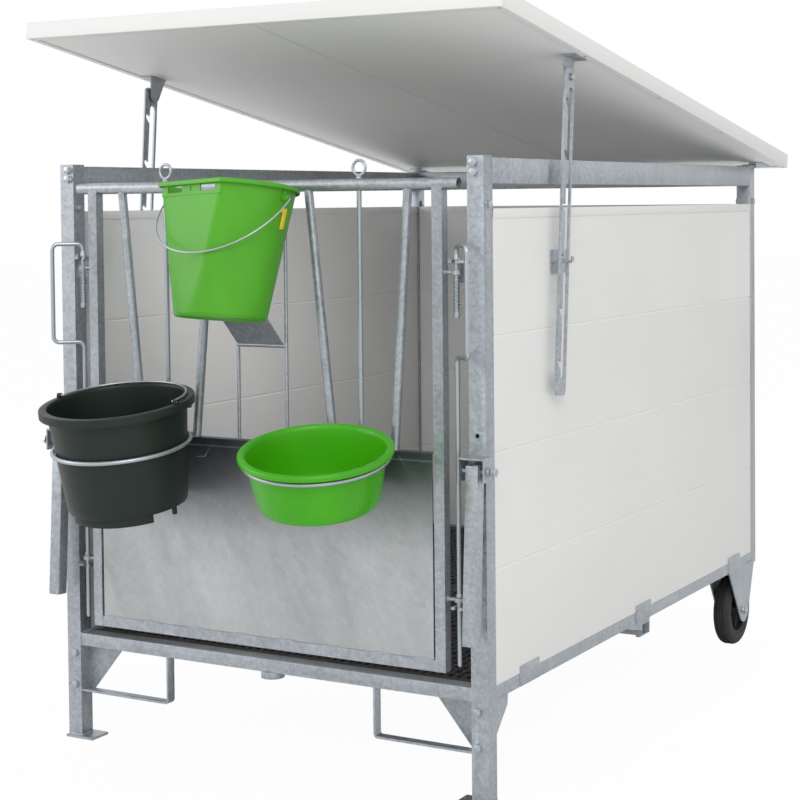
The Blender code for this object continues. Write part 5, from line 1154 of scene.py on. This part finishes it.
class CALFBOX_OT_floor_grid(bpy.types.Operator):
    """Slotted plastic grids of the floor"""
    bl_idname = "calf_box.floor_grid"
    bl_label = "Floor Grid"

    def execute(self, context):
        sizes = context.scene.calf_box_sizes
        rib_half, grid_depth = 0.0055, 0.012
        for name in ("floor_panel_front", "floor_panel_rear"):
            low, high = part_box(name)
            width, length = high.x - low.x, high.y - low.y
            across = round(width / sizes.slot_pitch_x)
            along = round(length / sizes.slot_pitch_y)
            shape = bmesh.new()
            middle = ((low.x + high.x) / 2, (low.y + high.y) / 2 - POST_FRONT, high.z - 0.0005)
            half_sizes = Matrix.Diagonal((width / 2 - 0.0005, length / 2 - 0.0005, 1, 1))
            place = Matrix.Translation(middle) @ half_sizes
            bmesh.ops.create_grid(shape, x_segments=across, y_segments=along, size=1, matrix=place)
            inner = [face for face in shape.faces
                     if all(len(edge.link_faces) == 2 for edge in face.edges)]
            bmesh.ops.inset_individual(shape, faces=inner, thickness=rib_half, depth=0.0)
            bmesh.ops.delete(shape, geom=inner, context="FACES")
            bmesh.ops.recalc_face_normals(shape, faces=shape.faces)
            if sum(face.normal.z for face in shape.faces) < 0:
                bmesh.ops.reverse_faces(shape, faces=shape.faces)
            bmesh.ops.solidify(shape, geom=shape.faces[:], thickness=grid_depth)
            make_piece(f"slotted_{name}", shape, "floor_grid", "frame", [name], sharp=30)
        return {"FINISHED"}


class CALFBOX_OT_roof_details(bpy.types.Operator):
    """Seam strip, mitre lines and edge screws of the roof, and the struts' upper bolts"""
    bl_idname = "calf_box.roof_details"
    bl_label = "Roof Details"

    def execute(self, context):
        place = roof_frame()
        under, over = ROOF_UNDER, ROOF_UNDER + ROOF_THICK
        strips = [block((-0.009, ROOF_FRONT + 0.022, under - 0.0002),
                        (0.009, ROOF_REAR - 0.022, under + 0.0018), 0.0006)]
        for sign in (-1, 1):
            for y, way in ((ROOF_FRONT, 1), (ROOF_REAR, -1)):
                for level in (under - 0.0003, over - 0.0009):
                    start = (sign * (ROOF_HALF - 0.0003), y + way * 0.0003, level + 0.0006)
                    end = (sign * (ROOF_HALF - 0.0215), y + way * 0.0215, level + 0.0006)
                    strips.append(bar([start, end], 0.0007, 6))
        make_piece("roof_seams", moved(joined(strips), place), "roof_skin", "roof")
        screws = []
        for sign in (-1, 1):
            for y in (ROOF_FRONT + 0.011, -1.35, -0.90, -0.45, ROOF_REAR - 0.011):
                for level, way in ((under + 0.0003, -1), (over - 0.0003, 1)):
                    x = sign * (ROOF_HALF - 0.011)
                    tip = (x, y, level + way * 0.0014)
                    screws.append(barrel((x, y, level), tip, 0.0045, 0.0030, 20, 0.0003))
        make_piece("roof_screws", moved(joined(screws), place), "fixing_zinc", "roof")
        bolts = []
        for _, sign in SIDES:
            x, y, z = STRUT_BOLT
            bolts.append(hex_bolt((sign * x, y, z), (sign, 0, 0), 0.013, 0.0004, 0.0085))
        make_piece("strut_bolts", moved(joined(bolts), place), "fixing_zinc", "roof")
        return {"FINISHED"}


def add_lamp(name, spot, aim, size, power):
    lamp = bpy.data.lights.new(name, "AREA")
    lamp.shape = "DISK"
    lamp.size = size
    lamp.energy = power
    holder = bpy.data.objects.new(name, lamp)
    holder.location = spot
    holder.rotation_euler = Vector(aim).to_track_quat("-Z", "Y").to_euler()
    bpy.context.scene.collection.objects.link(holder)
    return holder


class CALFBOX_OT_stage(bpy.types.Operator):
    """Pale floor, soft light and the camera"""
    bl_idname = "calf_box.stage"
    bl_label = "Stage"

    def execute(self, context):
        scene = context.scene
        shape = bmesh.new()
        bmesh.ops.create_circle(shape, cap_ends=True, segments=96, radius=40)
        mesh = bpy.data.meshes.new("studio_floor")
        shape.to_mesh(mesh)
        shape.free()
        floor = bpy.data.objects.new("studio_floor", mesh)
        scene.collection.objects.link(floor)
        finish = Finish("studio_floor")
        finish.set("Base Color", (0.86, 0.86, 0.86, 1))
        finish.set("Roughness", 0.9)
        glow = finish.node("Emission", None, {"Color": WHITE, "Strength": 1.0})
        share = finish.node("LightPath", output="Is Camera Ray") * FLOOR_GLOW_SHARE
        lit = Wire(finish, finish.surface.outputs[0])
        mixed = finish.node("MixShader", None, {0: share, 1: lit, 2: glow})
        finish.connect(finish.tree.nodes["Material Output"].inputs["Surface"], mixed)
        mesh.materials.append(finish.material)

        world = bpy.data.worlds.new("studio")
        scene.world = world
        world.use_nodes = True
        world.node_tree.nodes.clear()
        sky = Nodes(world.node_tree)
        shown = sky.node("LightPath", output="Is Camera Ray")
        for ray in ("Is Glossy Ray", "Is Transmission Ray"):
            other = sky.node("LightPath", output=ray)
            shown = sky.node("Math", {"operation": "MAXIMUM"}, {0: shown, 1: other})
        plain = sky.node("Background", None, {"Color": WHITE, "Strength": SKY_STRENGTH})
        white = sky.node("Background", None, {"Color": WHITE, "Strength": 1.0})
        mixed = sky.node("MixShader", None, {0: shown, 1: plain, 2: white})
        output = sky.tree.nodes.new("ShaderNodeOutputWorld")
        sky.connect(output.inputs["Surface"], mixed)

        for name, spot, size, power in LAMPS:
            add_lamp(name, spot, Vector(LAMP_TARGET) - Vector(spot), size, power)
        # A weak lamp inside the pen, seen neither by the camera nor in the metal
        inside = add_lamp(*INSIDE_LAMP)
        inside.data.spread = math.radians(INSIDE_SPREAD)
        inside.visible_camera = False
        inside.visible_glossy = False

        right = Vector((math.cos(CAMERA_YAW), math.sin(CAMERA_YAW), 0))
        ahead = Vector((-math.sin(CAMERA_YAW), math.cos(CAMERA_YAW), 0))
        up = Vector((0, 0, 1))
        look = ahead * math.cos(CAMERA_PITCH) - up * math.sin(CAMERA_PITCH)
        raised = up * math.cos(CAMERA_PITCH) + ahead * math.sin(CAMERA_PITCH)
        rolled_right = right * math.cos(CAMERA_ROLL) + raised * math.sin(CAMERA_ROLL)
        rolled_up = raised * math.cos(CAMERA_ROLL) - right * math.sin(CAMERA_ROLL)
        lens = bpy.data.cameras.new("camera")
        lens.sensor_width = 36
        lens.lens = FOCAL_PIXELS * lens.sensor_width / PICTURE_WIDTH
        lens.shift_x = (PICTURE_WIDTH / 2 - PICTURE_CENTRE[0]) / PICTURE_WIDTH
        lens.shift_y = (PICTURE_CENTRE[1] - PICTURE_WIDTH / 2) / PICTURE_WIDTH
        lens.clip_end = 200
        camera = bpy.data.objects.new("camera", lens)
        turn = Matrix((rolled_right, rolled_up, -look)).transposed().to_4x4()
        camera.matrix_world = Matrix.Translation(Vector(CAMERA_PLACE) + Vector((0, POST_FRONT, 0))) @ turn
        scene.collection.objects.link(camera)
        scene.camera = camera
        scene.view_settings.view_transform = "Standard"
        return {"FINISHED"}


class CALFBOX_PT_panel(bpy.types.Panel):
    """Buttons for each group of pieces"""
    bl_idname = "CALFBOX_PT_panel"
    bl_label = "Calf Box"
    bl_space_type = "VIEW_3D"
    bl_region_type = "UI"
    bl_category = "Calf Box"

    def draw(self, context):
        for name in ("zinc", "sheet", "plank", "roof", "green", "bowl", "dark", "clip", "rubber", "grid"):
            self.layout.prop(context.scene.calf_box_colours, name)
        for name in ("weld_radius", "tube_edge", "slot_pitch_x", "slot_pitch_y", "turns"):
            self.layout.prop(context.scene.calf_box_sizes, name)
        for operator in OPERATORS:
            self.layout.operator(operator.bl_idname)


OPERATORS = (CALFBOX_OT_finishes, CALFBOX_OT_tube_edges, CALFBOX_OT_fixings, CALFBOX_OT_welds,
             CALFBOX_OT_gate_sheet, CALFBOX_OT_latches, CALFBOX_OT_ring_rods, CALFBOX_OT_green_bucket,
             CALFBOX_OT_dark_bucket, CALFBOX_OT_feed_bowl, CALFBOX_OT_bucket_rings, CALFBOX_OT_wheels,
             CALFBOX_OT_floor_grid, CALFBOX_OT_roof_details, CALFBOX_OT_stage)
CLASSES = (CalfBoxColours, CalfBoxSizes, *OPERATORS, CALFBOX_PT_panel)


def register():
    for added in CLASSES:
        bpy.utils.register_class(added)
    bpy.types.Scene.calf_box_colours = PointerProperty(type=CalfBoxColours)
    bpy.types.Scene.calf_box_sizes = PointerProperty(type=CalfBoxSizes)


def unregister():
    del bpy.types.Scene.calf_box_sizes
    del bpy.types.Scene.calf_box_colours
    for added in reversed(CLASSES):
        bpy.utils.unregister_class(added)


def main():
    register()
    for operator in OPERATORS:
        group, name = operator.bl_idname.split(".")
        getattr(getattr(bpy.ops, group), name)()
    bpy.context.view_layer.update()


if __name__ == "__main__":
    main()
